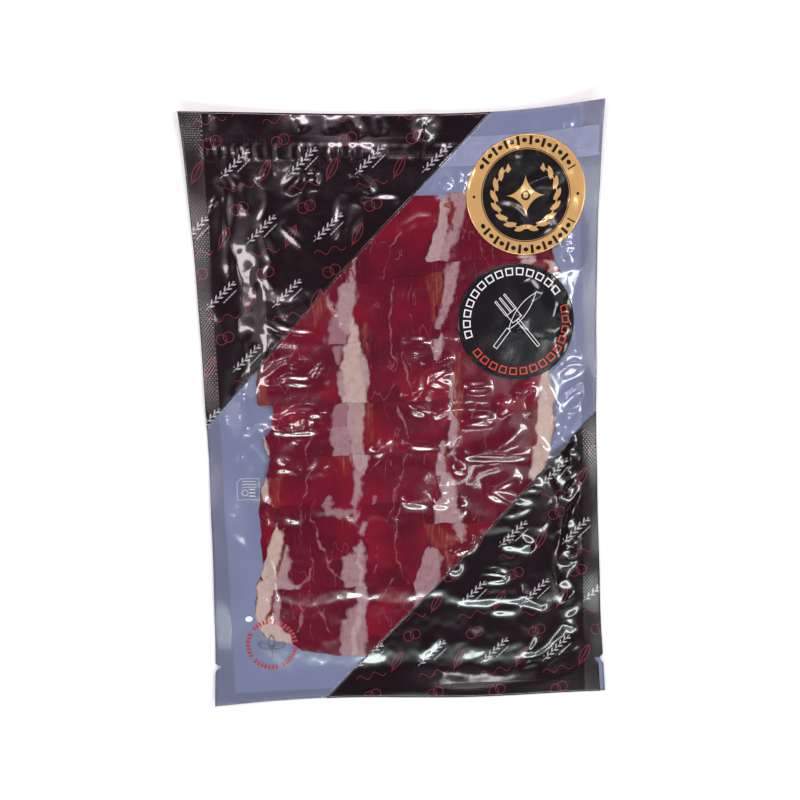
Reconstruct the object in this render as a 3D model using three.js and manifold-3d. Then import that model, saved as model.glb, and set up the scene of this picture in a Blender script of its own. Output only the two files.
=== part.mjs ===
// Flat vacuum pouch of sliced ham with two round labels, lying on its back.
// Millimetres, +Z up. +Y runs towards the press-to-close zip, +X to the right seen from above.
import * as THREE from 'three';
import { mergeVertices } from 'three/addons/utils/BufferGeometryUtils.js';
import Module from 'manifold-3d';

const { clamp, lerp, smoothstep } = THREE.MathUtils;

// Pouch outline
const POUCH_WIDTH = 175;
const POUCH_LENGTH = 258;
const LEFT_WAIST = 3.4;          // how far the long sides are drawn in at mid-length
const RIGHT_WAIST = 3.0;
const TOP_SAG = 3.2;             // dip of the open end between its two corners
const TOP_SAG_SKEW = 1.6;        // moves the dip towards the right-hand corner
const TOP_SAG_START = 40;        // below this y the dip has died out
const BOTTOM_WAVE = 1.1;         // slow wave of the bottom edge
const FILM_THICKNESS = 0.6;      // front and back film welded together
const SEAL_LIFT = 1.5;           // the seals ride this far above the table
const SEAL_LIFT_REACH = 15;      // distance from the contents over which they rise
const SEAL_RIPPLE = 0.35;        // slow ripple along the seals

// Corners that curl up, each by a bend about a diagonal axis
const CORNER_CURLS = [
  { x: 1, y: 1, reach: 38, height: 6.5 },
  { x: -1, y: 1, reach: 33, height: 4.5 },
  { x: 1, y: -1, reach: 24, height: 1.4 },
  { x: -1, y: -1, reach: 24, height: 1.2 },
];

// Sliced ham inside, as the film shows it from outside
const HAM = { left: -64, right: 66.5, bottom: -111, top: 93, cornerRadius: 15 };
const HAM_THICKNESS = 3.1;
const HAM_EDGE_WIDTH = 6;        // the film comes down off the contents over this width
const HAM_EDGE_WOBBLE = 1.3;
const SLICE_STEP = 0.9;          // one slice's thickness at an exposed edge
const SLICE_EDGE_WIDTH = 2.6;    // film bridges the step over this width
const COLUMN_BLEND = 3;

// Three columns of overlapping slices; each edge is the y of a slice's exposed lower end
const SLICE_COLUMNS = [
  { left: HAM.left, right: -21, edges: [57, 31, 6, -16.6, -38.5, -77] },
  { left: -21, right: 16.5, edges: [62, 33, 4.5, -18, -40, -62, -86] },
  { left: 16.5, right: HAM.right, edges: [66, 36.4, 6.4, -15.3, -48.6, -80] },
];

// Press-to-close zip across the pouch
const ZIP = {
  y: 113.2,
  halfBand: 6.2,
  bandHeight: 0.3,
  ridges: [110.4, 115.6],
  ridgeHeight: 0.8,
  ridgeHalfWidth: 1.5,
  halfLength: 82,
};

// Long stiff wrinkles of the film: straight ridges that taper out at both ends
const WRINKLES = [
  { from: [-67.8, 101], to: [-71.5, 52], height: 0.9, halfWidth: 2.6 },
  { from: [-58.9, 85], to: [-62.3, 20], height: 0.8, halfWidth: 2.4 },
  { from: [-60, 33.5], to: [-29, 32.5], height: 0.6, halfWidth: 2.4 },
  { from: [-25, 102], to: [-25.6, 72], height: 0.7, halfWidth: 2.8 },
  { from: [-62, 14.5], to: [-34, 24.5], height: 0.6, halfWidth: 2.2 },
  { from: [-59, -8.2], to: [-33, 3], height: 0.6, halfWidth: 2.2 },
  { from: [29, -18.5], to: [54, -5], height: 0.6, halfWidth: 2.2 },
  { from: [66, -15], to: [71.5, -62], height: 0.9, halfWidth: 2.6 },
  { from: [71.5, -68], to: [68, -112], height: 0.8, halfWidth: 2.6 },
  { from: [29, -86], to: [64, -87.5], height: 0.7, halfWidth: 2.4 },
];

// Tear notches in the side seals
const NOTCH_DEPTH = 2.6;
const NOTCH_WIDTH = 3.2;
const LEFT_NOTCH_Y = -111.6;
const RIGHT_NOTCH_Y = -113.8;

// Round labels stuck on the front film
const LABEL_RADIUS = 25;
const LABEL_THICKNESS = 0.4;
const LABEL_GAP = 0.3;
const LABEL_BRIDGE = 4;          // the stiff label spans film relief narrower than this
const LABEL_RINGS = 7;
const LABEL_SEGMENTS = 32;
const GOLD_LABEL_CENTRE = [55.2, 92.3];
const BLACK_LABEL_CENTRE = [50.1, 38.9];

// Flat spot of the underside, well inside the ham's outline
const REST = { left: -56, right: 56, bottom: -101, top: 82 };

// Mesh density of the pouch
const CELLS_ACROSS = 40;
const CELL_LENGTH = 4.2;
const ZIP_ROWS = [106.6, 107.6, 108.9, 110.4, 111.9, 113.2, 114.1, 115.6, 117.1, 118.8, 119.9];

const HALF_WIDTH = POUCH_WIDTH / 2;
const HALF_LENGTH = POUCH_LENGTH / 2;

/** Smooth bump: 1 at zero distance, 0 beyond the half width. */
function bell(distance, halfWidth) {
  const t = clamp(Math.abs(distance) / halfWidth, 0, 1);
  return (1 - t * t) ** 2;
}

/** Half width of the pouch at a height y on the side with the given sign. */
function sideAt(sign, y) {
  const waist = sign < 0 ? LEFT_WAIST : RIGHT_WAIST;
  return HALF_WIDTH - waist * (1 - (y / HALF_LENGTH) ** 2);
}

/** Dip of the open end and wave of the bottom end, added to y. */
function endShift(x, y) {
  const across = (x + HALF_WIDTH) / POUCH_WIDTH;
  const sag = TOP_SAG * Math.sin(Math.PI * across ** TOP_SAG_SKEW);
  const wave = BOTTOM_WAVE * (1 - Math.sin(Math.PI * x / HALF_WIDTH));
  const nearTop = smoothstep(y, TOP_SAG_START, HALF_LENGTH);
  const nearBottom = smoothstep(-y, TOP_SAG_START, HALF_LENGTH);
  return wave * nearBottom - sag * nearTop;
}

/** Signed distance outside the ham's uneven rounded outline. */
function outsideHam(x, y) {
  const halfWidth = (HAM.right - HAM.left) / 2 - HAM.cornerRadius;
  const halfLength = (HAM.top - HAM.bottom) / 2 - HAM.cornerRadius;
  const dx = Math.abs(x - (HAM.left + HAM.right) / 2) - halfWidth;
  const dy = Math.abs(y - (HAM.bottom + HAM.top) / 2) - halfLength;
  const corner = Math.hypot(Math.max(dx, 0), Math.max(dy, 0));
  const wobble = Math.sin(y / 9.5 + x / 21) + 0.6 * Math.sin(x / 7.3 - y / 17);
  return corner + Math.min(Math.max(dx, dy), 0) - HAM.cornerRadius + HAM_EDGE_WOBBLE * wobble;
}

/** Height of the pouch's corners above the table where they curl. */
function cornerCurl(x, y) {
  let height = 0;
  for (const curl of CORNER_CURLS) {
    const diagonal = (curl.x * x - HALF_WIDTH + curl.y * y - HALF_LENGTH) / Math.SQRT2 + curl.reach;
    height += curl.height * (Math.max(diagonal, 0) / curl.reach) ** 2;
  }
  return height;
}

/** Underside: flat on the table beneath the ham, lifted and rippled at the seals. */
function backHeight(x, y) {
  const rise = smoothstep(outsideHam(x, y) - HAM_EDGE_WOBBLE, 0, SEAL_LIFT_REACH);
  const ripple = SEAL_RIPPLE * (Math.sin(y / 12) + Math.sin(x / 15 + y / 7));
  return rise * (SEAL_LIFT + ripple) + cornerCurl(x, y);
}

/** Sawtooth of one column of slices: it climbs to each exposed edge and drops past it. */
function columnRelief(edges, y) {
  const ends = [HAM.top, ...edges, HAM.bottom];
  const index = ends.findIndex((end) => y >= end);
  const lower = ends[Math.max(index, 1)];
  const upper = ends[Math.max(index, 1) - 1];
  const climb = clamp((upper - y) / (upper - lower), 0, 1);
  const bridge = 1 - smoothstep(upper - y, 0, SLICE_EDGE_WIDTH);
  return index < 1 ? 0 : SLICE_STEP * Math.max(climb, bridge);
}

/** Thickness of the sliced ham under the film. */
function hamThickness(x, y) {
  const cover = 1 - smoothstep(outsideHam(x, y), -HAM_EDGE_WIDTH / 2, HAM_EDGE_WIDTH / 2);
  let relief = 0;
  for (const column of SLICE_COLUMNS) {
    const fromLeft = smoothstep(x, column.left - COLUMN_BLEND, column.left + COLUMN_BLEND);
    const toRight = smoothstep(x, column.right - COLUMN_BLEND, column.right + COLUMN_BLEND);
    relief += columnRelief(column.edges, y) * (fromLeft - toRight);
  }
  return cover * (HAM_THICKNESS + relief);
}

/** Relief of the zip's band and its two interlocking ridges. */
function zipRelief(x, y) {
  const along = bell(Math.max(Math.abs(x) - ZIP.halfLength + 6, 0), 6);
  const band = smoothstep(ZIP.halfBand - Math.abs(y - ZIP.y), -0.6, 0.6);
  const ridges = ZIP.ridges.map((ridgeY) => bell(y - ridgeY, ZIP.ridgeHalfWidth));
  return along * (ZIP.bandHeight * band + ZIP.ridgeHeight * Math.max(...ridges));
}

/** Relief of the long film wrinkles. */
function wrinkleRelief(x, y) {
  let height = 0;
  for (const { from, to, height: top, halfWidth } of WRINKLES) {
    const runX = to[0] - from[0];
    const runY = to[1] - from[1];
    const length = Math.hypot(runX, runY);
    const along = ((x - from[0]) * runX + (y - from[1]) * runY) / length ** 2;
    const aside = ((x - from[0]) * runY - (y - from[1]) * runX) / length;
    height += top * bell(aside, halfWidth) * bell(along - 0.5, 0.5);
  }
  return height;
}

/** Upper side of the pouch, before the open and bottom ends are bent. */
function frontHeight(x, y) {
  const seal = backHeight(x, y) + FILM_THICKNESS;
  return seal + hamThickness(x, y) + zipRelief(x, y) + wrinkleRelief(x, y);
}

/** Rows of the pouch mesh: even cells with closer rows over the zip. */
function meshRows() {
  const lowerLength = ZIP_ROWS[0] + HALF_LENGTH;
  const cells = Math.round(lowerLength / CELL_LENGTH);
  const lower = Array.from({ length: cells }, (_, i) => -HALF_LENGTH + lowerLength * i / cells);
  const flapCells = 3;
  const flapStart = ZIP_ROWS[ZIP_ROWS.length - 1];
  const flap = Array.from({ length: flapCells }, (_, i) => lerp(flapStart, HALF_LENGTH, (i + 1) / flapCells));
  return [...lower, ...ZIP_ROWS, ...flap];
}

/** Grid indices round a block of cells, counter-clockwise seen from above. */
function loopRound([firstRow, lastRow], [firstColumn, lastColumn]) {
  const index = (row, column) => row * (CELLS_ACROSS + 1) + column;
  const loop = [];
  for (let i = firstColumn; i < lastColumn; i += 1) loop.push(index(firstRow, i));
  for (let row = firstRow; row < lastRow; row += 1) loop.push(index(row, lastColumn));
  for (let i = lastColumn; i > firstColumn; i -= 1) loop.push(index(lastRow, i));
  for (let row = lastRow; row > firstRow; row -= 1) loop.push(index(row, firstColumn));
  return loop;
}

/** First and last index of the values that lie between two limits. */
function indexSpan(values, low, high) {
  const inside = values.map((value) => value >= low && value <= high);
  return [inside.indexOf(true), inside.lastIndexOf(true)];
}

/** Closed pouch: a front and a back sheet on the same grid, stitched round the edge. */
function pouchGeometry() {
  const rows = meshRows();
  const across = Array.from({ length: CELLS_ACROSS + 1 }, (_, i) => 2 * i / CELLS_ACROSS - 1);
  const positions = [];
  for (const height of [frontHeight, backHeight]) {
    for (const y of rows) {
      for (const share of across) {
        const x = share * sideAt(share, y);
        positions.push(x, y + endShift(x, y), height(x, y));
      }
    }
  }
  const columns = across.length;
  const backStart = rows.length * columns;
  const restCentre = 2 * backStart;
  positions.push(0, 0, 0);

  const restRows = indexSpan(rows, REST.bottom, REST.top);
  const restColumns = indexSpan(across.map((share) => share * HALF_WIDTH), REST.left, REST.right);
  const isRest = (row, i) => row >= restRows[0] && row < restRows[1] && i >= restColumns[0] && i < restColumns[1];
  const triangles = [];
  const quad = (a, b, c, d) => triangles.push(a, b, c, a, c, d);
  for (let row = 0; row < rows.length - 1; row += 1) {
    for (let i = 0; i < CELLS_ACROSS; i += 1) {
      const a = row * columns + i;
      const back = backStart + a;
      quad(a, a + 1, a + 1 + columns, a + columns);
      if (!isRest(row, i)) quad(back, back + columns, back + columns + 1, back + 1);
    }
  }
  loopRound(restRows, restColumns).forEach((a, k, loop) => {
    triangles.push(restCentre, backStart + loop[(k + 1) % loop.length], backStart + a);
  });
  loopRound([0, rows.length - 1], [0, CELLS_ACROSS]).forEach((a, k, loop) => {
    const b = loop[(k + 1) % loop.length];
    quad(a, backStart + a, backStart + b, b);
  });
  const geometry = new THREE.BufferGeometry();
  geometry.setAttribute('position', new THREE.Float32BufferAttribute(positions, 3));
  geometry.setIndex(triangles);
  return geometry;
}

/** Triangular prism that cuts a tear notch into one side. */
function notchGeometry(sign, y) {
  const overhang = 2;
  const edge = sideAt(sign, y);
  const halfMouth = NOTCH_WIDTH / 2 * (NOTCH_DEPTH + overhang) / NOTCH_DEPTH;
  const outline = new THREE.Shape([
    new THREE.Vector2(sign * (edge - NOTCH_DEPTH), y),
    new THREE.Vector2(sign * (edge + overhang), y - sign * halfMouth),
    new THREE.Vector2(sign * (edge + overhang), y + sign * halfMouth),
  ]);
  const depth = 12;
  const prism = new THREE.ExtrudeGeometry(outline, { depth, bevelEnabled: false });
  return prism.translate(0, 0, -depth / 2);
}

const wasm = await Module();
wasm.setup();

/** Solid for joining and cutting, from a closed geometry. */
function toSolid(geometry) {
  const bare = geometry.clone();
  bare.deleteAttribute('normal');
  bare.deleteAttribute('uv');
  const merged = mergeVertices(bare);
  const vertProperties = Float32Array.from(merged.attributes.position.array);
  const triVerts = Uint32Array.from(merged.index.array);
  return new wasm.Manifold(new wasm.Mesh({ numProp: 3, vertProperties, triVerts }));
}

/** Geometry of a finished solid. */
function toGeometry(solid) {
  const { vertProperties, triVerts } = solid.getMesh();
  const geometry = new THREE.BufferGeometry();
  geometry.setAttribute('position', new THREE.BufferAttribute(vertProperties, 3));
  geometry.setIndex(new THREE.BufferAttribute(triVerts, 1));
  return geometry;
}

/** Pouch with its two tear notches. */
function notchedPouch() {
  const whole = toSolid(pouchGeometry());
  const left = toSolid(notchGeometry(-1, LEFT_NOTCH_Y));
  const right = toSolid(notchGeometry(1, RIGHT_NOTCH_Y));
  return toGeometry(whole.subtract(left).subtract(right));
}

/** Underside of a label: the highest film within its bridging distance, plus the gap. */
function labelSeat(x, y) {
  let highest = frontHeight(x, y);
  for (const radius of [LABEL_BRIDGE / 2, LABEL_BRIDGE]) {
    for (let k = 0; k < 8; k += 1) {
      const angle = k * Math.PI / 4;
      highest = Math.max(highest, frontHeight(x + radius * Math.cos(angle), y + radius * Math.sin(angle)));
    }
  }
  return highest + LABEL_GAP;
}

/** Round label: two matching discs of rings over the film, joined by a rim. */
function labelGeometry([centreX, centreY]) {
  const positions = [];
  for (const thickness of [LABEL_THICKNESS, 0]) {
    for (let ring = 0; ring <= LABEL_RINGS; ring += 1) {
      const radius = LABEL_RADIUS * ring / LABEL_RINGS;
      const points = ring === 0 ? 1 : LABEL_SEGMENTS;
      for (let k = 0; k < points; k += 1) {
        const angle = 2 * Math.PI * k / LABEL_SEGMENTS;
        const x = centreX + radius * Math.cos(angle);
        const y = centreY + radius * Math.sin(angle);
        positions.push(x, y + endShift(x, y), labelSeat(x, y) + thickness);
      }
    }
  }
  const layer = 1 + LABEL_RINGS * LABEL_SEGMENTS;
  const point = (ring, k) => (ring === 0 ? 0 : 1 + (ring - 1) * LABEL_SEGMENTS + k % LABEL_SEGMENTS);
  const triangles = [];
  const face = (a, b, c) => triangles.push(a, b, c, layer + a, layer + c, layer + b);
  for (let k = 0; k < LABEL_SEGMENTS; k += 1) {
    face(0, point(1, k), point(1, k + 1));
    for (let ring = 1; ring < LABEL_RINGS; ring += 1) {
      face(point(ring, k), point(ring + 1, k), point(ring + 1, k + 1));
      face(point(ring, k), point(ring + 1, k + 1), point(ring, k + 1));
    }
    const a = point(LABEL_RINGS, k);
    const b = point(LABEL_RINGS, k + 1);
    triangles.push(a, layer + a, layer + b, a, layer + b, b);
  }
  const geometry = new THREE.BufferGeometry();
  geometry.setAttribute('position', new THREE.Float32BufferAttribute(positions, 3));
  geometry.setIndex(triangles);
  return geometry;
}

/** Named mesh of one piece. */
function piece(name, geometry, finish) {
  geometry.computeVertexNormals();
  const mesh = new THREE.Mesh(geometry, new THREE.MeshStandardMaterial(finish));
  mesh.name = name;
  return mesh;
}

const pouch = piece('pouch', notchedPouch(), { color: 0x2b1a20, roughness: 0.12, metalness: 0 });
const goldLabel = piece('gold_label', labelGeometry(GOLD_LABEL_CENTRE), {
  color: 0xc79a4e,
  roughness: 0.35,
  metalness: 0.5,
});
const blackLabel = piece('black_label', labelGeometry(BLACK_LABEL_CENTRE), {
  color: 0x121114,
  roughness: 0.3,
  metalness: 0,
});

// The pouch's box is centred on the origin and stands on z = 0; the labels move with it
pouch.geometry.computeBoundingBox();
const box = pouch.geometry.boundingBox;
const group = new THREE.Group();
group.add(pouch, goldLabel, blackLabel);
group.position.set(-(box.min.x + box.max.x) / 2, -(box.min.y + box.max.y) / 2, -box.min.z);

export default group;
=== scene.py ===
"""Pack of sliced cured ham: a flat vacuum pouch with a clear diagonal window, seen from above.

The pouch is built from its real layers: an opaque back film, two columns of overlapping ham
slices, the press-to-close zip, and a front film that is clear along a diagonal band and printed
black on both sides of it. Two round labels are stuck on the front. Shapes are worked out in
millimetres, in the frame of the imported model, and turned into metres when a mesh is made.
"""

import logging
import math
from collections.abc import Sequence
from dataclasses import dataclass, field
from enum import Enum
from functools import partialmethod

import bpy
import numpy as np
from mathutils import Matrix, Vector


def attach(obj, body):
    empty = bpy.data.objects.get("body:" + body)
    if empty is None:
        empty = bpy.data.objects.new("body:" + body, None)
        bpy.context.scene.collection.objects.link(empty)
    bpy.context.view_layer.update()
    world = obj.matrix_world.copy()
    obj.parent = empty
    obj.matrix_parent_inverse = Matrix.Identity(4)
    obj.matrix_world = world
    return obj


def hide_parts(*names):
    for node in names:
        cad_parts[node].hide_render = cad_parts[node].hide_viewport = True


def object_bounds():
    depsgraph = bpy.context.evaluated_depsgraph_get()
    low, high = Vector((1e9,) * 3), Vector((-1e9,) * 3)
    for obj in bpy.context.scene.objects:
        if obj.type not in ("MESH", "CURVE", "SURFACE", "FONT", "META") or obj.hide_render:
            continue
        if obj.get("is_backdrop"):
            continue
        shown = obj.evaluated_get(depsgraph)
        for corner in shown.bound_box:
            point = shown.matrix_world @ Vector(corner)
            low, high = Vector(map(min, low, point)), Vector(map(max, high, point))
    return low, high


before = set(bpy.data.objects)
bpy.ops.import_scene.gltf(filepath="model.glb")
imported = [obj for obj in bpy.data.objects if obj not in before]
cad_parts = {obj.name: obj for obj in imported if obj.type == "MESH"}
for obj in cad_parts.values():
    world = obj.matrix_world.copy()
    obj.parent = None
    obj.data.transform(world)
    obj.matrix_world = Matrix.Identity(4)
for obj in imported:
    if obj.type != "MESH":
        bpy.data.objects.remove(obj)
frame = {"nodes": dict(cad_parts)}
CAD_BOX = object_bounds()

MM = 0.001
LOG = logging.getLogger("ham_pouch")
BELL_SLOPE = 0.858  # Greatest slope of exp(-t^2)
OUTSIDE = -20.0  # Depth given to points far outside every streak, in millimetres
NO_LIMIT = 10**6  # More than the number of any cell diagonal

Array = np.ndarray
Pair = tuple[float, float]
Triple = tuple[float, float, float]
Colour = Triple
Path = tuple[Pair, ...]
Streak = tuple[Triple, ...]
Mesh, Piece = bpy.types.Mesh, bpy.types.Object
Material, Shader, Socket = bpy.types.Material, bpy.types.Node, bpy.types.NodeSocket


# -------- Formulas on whole arrays --------


def smoothstep(value: Array, low: float, high: float) -> Array:
    """Smooth ramp 3t^2 - 2t^3 from 0 at low to 1 at high."""
    t = np.clip((value - low) / (high - low), 0.0, 1.0)
    return t * t * (3.0 - 2.0 * t)


def bell(distance: Array, half_width: float) -> Array:
    """Smooth bump (1 - t^2)^2, 1 at zero distance and 0 from the half width on."""
    t = np.clip(np.abs(distance) / half_width, 0.0, 1.0)
    return (1.0 - t * t) ** 2


def rounded(path: Path, passes: int = 2) -> Array:
    """Cuts a path's corners: each pass keeps the ends and a quarter point either side of a corner.

    Args:
        path: The path's points, in millimetres.
        passes: How often the corners are cut.

    Returns:
        The smoothed points, one row each.
    """
    points = np.asarray(path, float)
    for _ in range(passes):
        first = 0.75 * points[:-1] + 0.25 * points[1:]
        second = 0.25 * points[:-1] + 0.75 * points[1:]
        between = np.stack([first, second], axis=1).reshape(-1, points.shape[1])
        points = np.vstack([points[:1], between[1:-1], points[-1:]])
    return points


def from_segment(x: Array, y: Array, start: Array, end: Array) -> tuple[Array, Array, Array]:
    """Share of a segment's length at the place nearest to each point, and the offset from that place.

    Args:
        x: Places across.
        y: Places along.
        start: The segment's start.
        end: Its end.

    Returns:
        The shares from 0 to 1, and the offsets across and along.
    """
    run = end - start
    share = ((x - start[0]) * run[0] + (y - start[1]) * run[1]) / max(float(run @ run), 1e-9)
    share = np.clip(share, 0.0, 1.0)
    return share, x - start[0] - share * run[0], y - start[1] - share * run[1]


def path_offset(x: Array, y: Array, path: Array) -> tuple[Array, Array, Array]:
    """Offset of each point from the nearest point of a path, and how far along the path that is.

    Args:
        x: Places across.
        y: Places along.
        path: The path's points, one row each.

    Returns:
        The offsets across and along, and the shares of the path's length from 0 to 1.
    """
    steps = np.hypot(*(path[1:] - path[:-1]).T)
    travelled = np.concatenate([[0.0], np.cumsum(steps)])
    nearest = np.full(x.shape, np.inf)
    offset_x, offset_y, share = np.zeros((3, *x.shape))
    for start, end, length, before in zip(path[:-1], path[1:], steps, travelled):
        part, dx, dy = from_segment(x, y, start, end)
        closer = np.hypot(dx, dy) < nearest
        nearest = np.where(closer, np.hypot(dx, dy), nearest)
        offset_x, offset_y = np.where(closer, dx, offset_x), np.where(closer, dy, offset_y)
        share = np.where(closer, (before + part * length) / travelled[-1], share)
    return offset_x, offset_y, share


def streak_depth(x: Array, y: Array, streak: Streak) -> Array:
    """Depth inside a tapering streak: its half width at the nearest place less the distance to it.

    Args:
        x: Places across.
        y: Places along.
        streak: Points of (x, y, half width).

    Returns:
        Depths in millimetres, negative outside the streak.
    """
    points = np.asarray(streak, float)
    deepest = np.full(x.shape, -np.inf)
    for start, end in zip(points[:-1], points[1:]):
        share, dx, dy = from_segment(x, y, start[:2], end[:2])
        deepest = np.maximum(deepest, start[2] + (end[2] - start[2]) * share - np.hypot(dx, dy))
    return deepest


@dataclass(frozen=True)
class Ripples:
    """Sum of plane waves of random direction: the even part of a film's or slice's unevenness."""

    seed: int
    shortest: float  # Shortest wavelength, in millimetres
    longest: float  # Longest wavelength, in millimetres
    waves: int = 24  # How many waves are added

    def height(self, x: Array, y: Array) -> Array:
        """Sum of cos(k.p + phase), scaled so that it mostly stays between -1 and 1.

        Args:
            x: Places across.
            y: Places along.

        Returns:
            The heights.
        """
        draw = np.random.default_rng(self.seed)
        total = np.zeros(np.broadcast(x, y).shape)
        for _ in range(self.waves):
            angle = draw.uniform(0.0, 2.0 * math.pi)
            number = 2.0 * math.pi / draw.uniform(self.shortest, self.longest)
            phase = draw.uniform(0.0, 2.0 * math.pi)
            total += np.cos(number * (x * math.cos(angle) + y * math.sin(angle)) + phase)
        return total / math.sqrt(2.0 * self.waves)


# -------- Form of the pouch --------


@dataclass(frozen=True)
class Curl:
    """A corner that curls up: side signs, length of the bend and height, in millimetres."""

    across: int
    along: int
    reach: float
    height: float


@dataclass(frozen=True)
class PouchForm:
    """Outline and main heights of the pouch, in millimetres, as its solid has them."""

    width: float = 175.0
    length: float = 258.0
    left_waist: float = 3.4
    right_waist: float = 3.0
    top_sag: float = 3.2
    top_sag_skew: float = 1.6
    end_shift_start: float = 40.0
    bottom_wave: float = 1.1
    seal_lift: float = 1.5
    seal_lift_reach: float = 15.0
    seal_ripple: float = 0.35
    curls: tuple[Curl, ...] = (
        Curl(1, 1, 38.0, 6.5),
        Curl(-1, 1, 33.0, 4.5),
        Curl(1, -1, 24.0, 1.4),
        Curl(-1, -1, 24.0, 1.2),
    )
    ham_left: float = -64.0
    ham_right: float = 66.5
    ham_bottom: float = -111.0
    ham_top: float = 93.0
    ham_corner: float = 15.0
    ham_thickness: float = 3.1
    end_share: float = 0.22  # Share of the stack's height that is left at its ends
    film_edge_start: float = 6.0
    film_edge_width: float = 9.5
    film_slack: float = 1.5
    film_edge_in_at_ends: float = 3.0
    film_edge_out_at_right: float = 7.0
    film_edge_uneven: float = 0.3
    film_edge_wider_at_ends: float = 1.2
    ham_edge_wobble: float = 1.3
    slice_step: float = 0.4
    slice_edge_width: float = 5.5
    slice_edge_extra: float = 4.5
    column_split: float = 17.0
    column_blend: float = 3.0
    stack_ends: Path = ((30.0, 88.0), (30.0, 104.0))  # Where the stack lowers at the top and the bottom
    film_ends: Path = ((70.0, 90.0), (90.0, 106.0))  # Where the film's slope widens there
    film_kinks: tuple[Ripples, Ripples] = (Ripples(8, 14.0, 34.0, 9), Ripples(9, 9.0, 20.0, 9))
    film_waves: Ripples = Ripples(10, 16.0, 40.0, 9)
    left_ends: tuple[float, ...] = (57.0, 31.0, 6.0, -16.6, -38.5, -77.0)
    right_ends: tuple[float, ...] = (65.5, 36.4, 6.4, -15.3, -48.6, -80.0)
    zip_y: float = 113.2
    zip_half_band: float = 6.2
    zip_band_height: float = 0.3
    zip_ridges: Pair = (110.4, 115.6)
    zip_ridge_height: float = 0.8
    zip_ridge_half_width: float = 1.5
    zip_half_length: float = 82.0
    zip_taper: float = 6.0
    side_seal: float = 78.3
    bottom_seal: float = -122.6
    notch_depth: float = 2.6
    notch_width: float = 3.2
    left_notch_y: float = -111.6
    right_notch_y: float = -113.8

    @property
    def half_width(self) -> float:
        """Half of the pouch's width."""
        return self.width / 2.0

    @property
    def half_length(self) -> float:
        """Half of the pouch's length."""
        return self.length / 2.0

    def side(self, share: Array, y: Array) -> Array:
        """Place across at a share from -1 to 1: share * (w/2 - waist * (1 - (2y/L)^2)), less the notch.

        Args:
            share: Shares of the way out from the middle, negative on the left.
            y: Places along.

        Returns:
            The places across.
        """
        waist = np.where(share < 0.0, self.left_waist, self.right_waist)
        plain = share * (self.half_width - waist * (1.0 - (y / self.half_length) ** 2))
        notch_y = np.where(share < 0.0, self.left_notch_y, self.right_notch_y)
        notch = np.clip(1.0 - np.abs(y - notch_y) / (self.notch_width / 2.0), 0.0, 1.0)
        near_edge = smoothstep(np.abs(share), 0.93, 1.0)
        return plain - np.sign(share) * self.notch_depth * notch * near_edge

    def grid(self, columns: int, rows: int) -> tuple[Array, Array]:
        """An even grid over the whole outline, whose rows run from side to side.

        Args:
            columns: Points from side to side.
            rows: Points from end to end.

        Returns:
            The places across and along.
        """
        share, along = np.meshgrid(np.linspace(-1.0, 1.0, columns), np.linspace(-1.0, 1.0, rows))
        y = along * self.half_length
        return self.side(share, y), y

    def end_shift(self, x: Array, y: Array) -> Array:
        """Dip of the open end, sag * sin(pi * across^skew), and slow wave of the bottom end.

        Args:
            x: Places across.
            y: Places along.

        Returns:
            The shifts along.
        """
        across = np.clip((x + self.half_width) / self.width, 0.0, 1.0)
        sag = self.top_sag * np.sin(math.pi * across**self.top_sag_skew)
        wave = self.bottom_wave * (1.0 - np.sin(math.pi * x / self.half_width))
        near_top = smoothstep(y, self.end_shift_start, self.half_length)
        near_bottom = smoothstep(-y, self.end_shift_start, self.half_length)
        return wave * near_bottom - sag * near_top

    def outside_ham(self, x: Array, y: Array) -> Array:
        """Signed distance outside the contents' rounded and slightly wavy outline.

        Args:
            x: Places across.
            y: Places along.

        Returns:
            The distances.
        """
        half_width = (self.ham_right - self.ham_left) / 2.0 - self.ham_corner
        half_length = (self.ham_top - self.ham_bottom) / 2.0 - self.ham_corner
        dx = np.abs(x - (self.ham_left + self.ham_right) / 2.0) - half_width
        dy = np.abs(y - (self.ham_bottom + self.ham_top) / 2.0) - half_length
        corner = np.hypot(np.maximum(dx, 0.0), np.maximum(dy, 0.0))
        wobble = np.sin(y / 9.5 + x / 21.0) + 0.6 * np.sin(x / 7.3 - y / 17.0)
        inside = np.minimum(np.maximum(dx, dy), 0.0)
        return corner + inside - self.ham_corner + self.ham_edge_wobble * wobble

    def cover(self, x: Array, y: Array) -> Array:
        """Share of the contents' full height that the film stands at, 1 over them and 0 beside them.

        The film's slope begins on a line with kinks, more of them on the right. It begins further
        in on the left and at both ends of the stack, where it is wider too.

        Args:
            x: Places across.
            y: Places along.

        Returns:
            The shares.
        """
        outward, inward = (np.abs(ripples.height(x, y)) for ripples in self.film_kinks)
        kinks = (outward - inward) * self.film_slack * (0.5 + smoothstep(x, 0.0, 60.0))
        ends = smoothstep(y, *self.film_ends[0]) + smoothstep(-y, *self.film_ends[1])
        sides = smoothstep(x, -50.0, 50.0) * (1.0 - ends)
        start = self.film_edge_start + self.film_edge_in_at_ends * ends
        start = start - self.film_edge_out_at_right * sides
        uneven = self.film_edge_uneven * self.film_waves.height(x, y)
        wide = 1.0 + uneven + self.film_edge_wider_at_ends * ends
        return 1.0 - smoothstep((self.outside_ham(x, y) + kinks + start) / wide, 0.0, self.film_edge_width)

    def stack(self, y: Array) -> Array:
        """Height of the stacked slices, fewer of which lie over each other towards both ends."""
        ends = smoothstep(y, *self.stack_ends[0]) + smoothstep(-y, *self.stack_ends[1])
        return self.ham_thickness * (1.0 - (1.0 - self.end_share) * ends)

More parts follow.
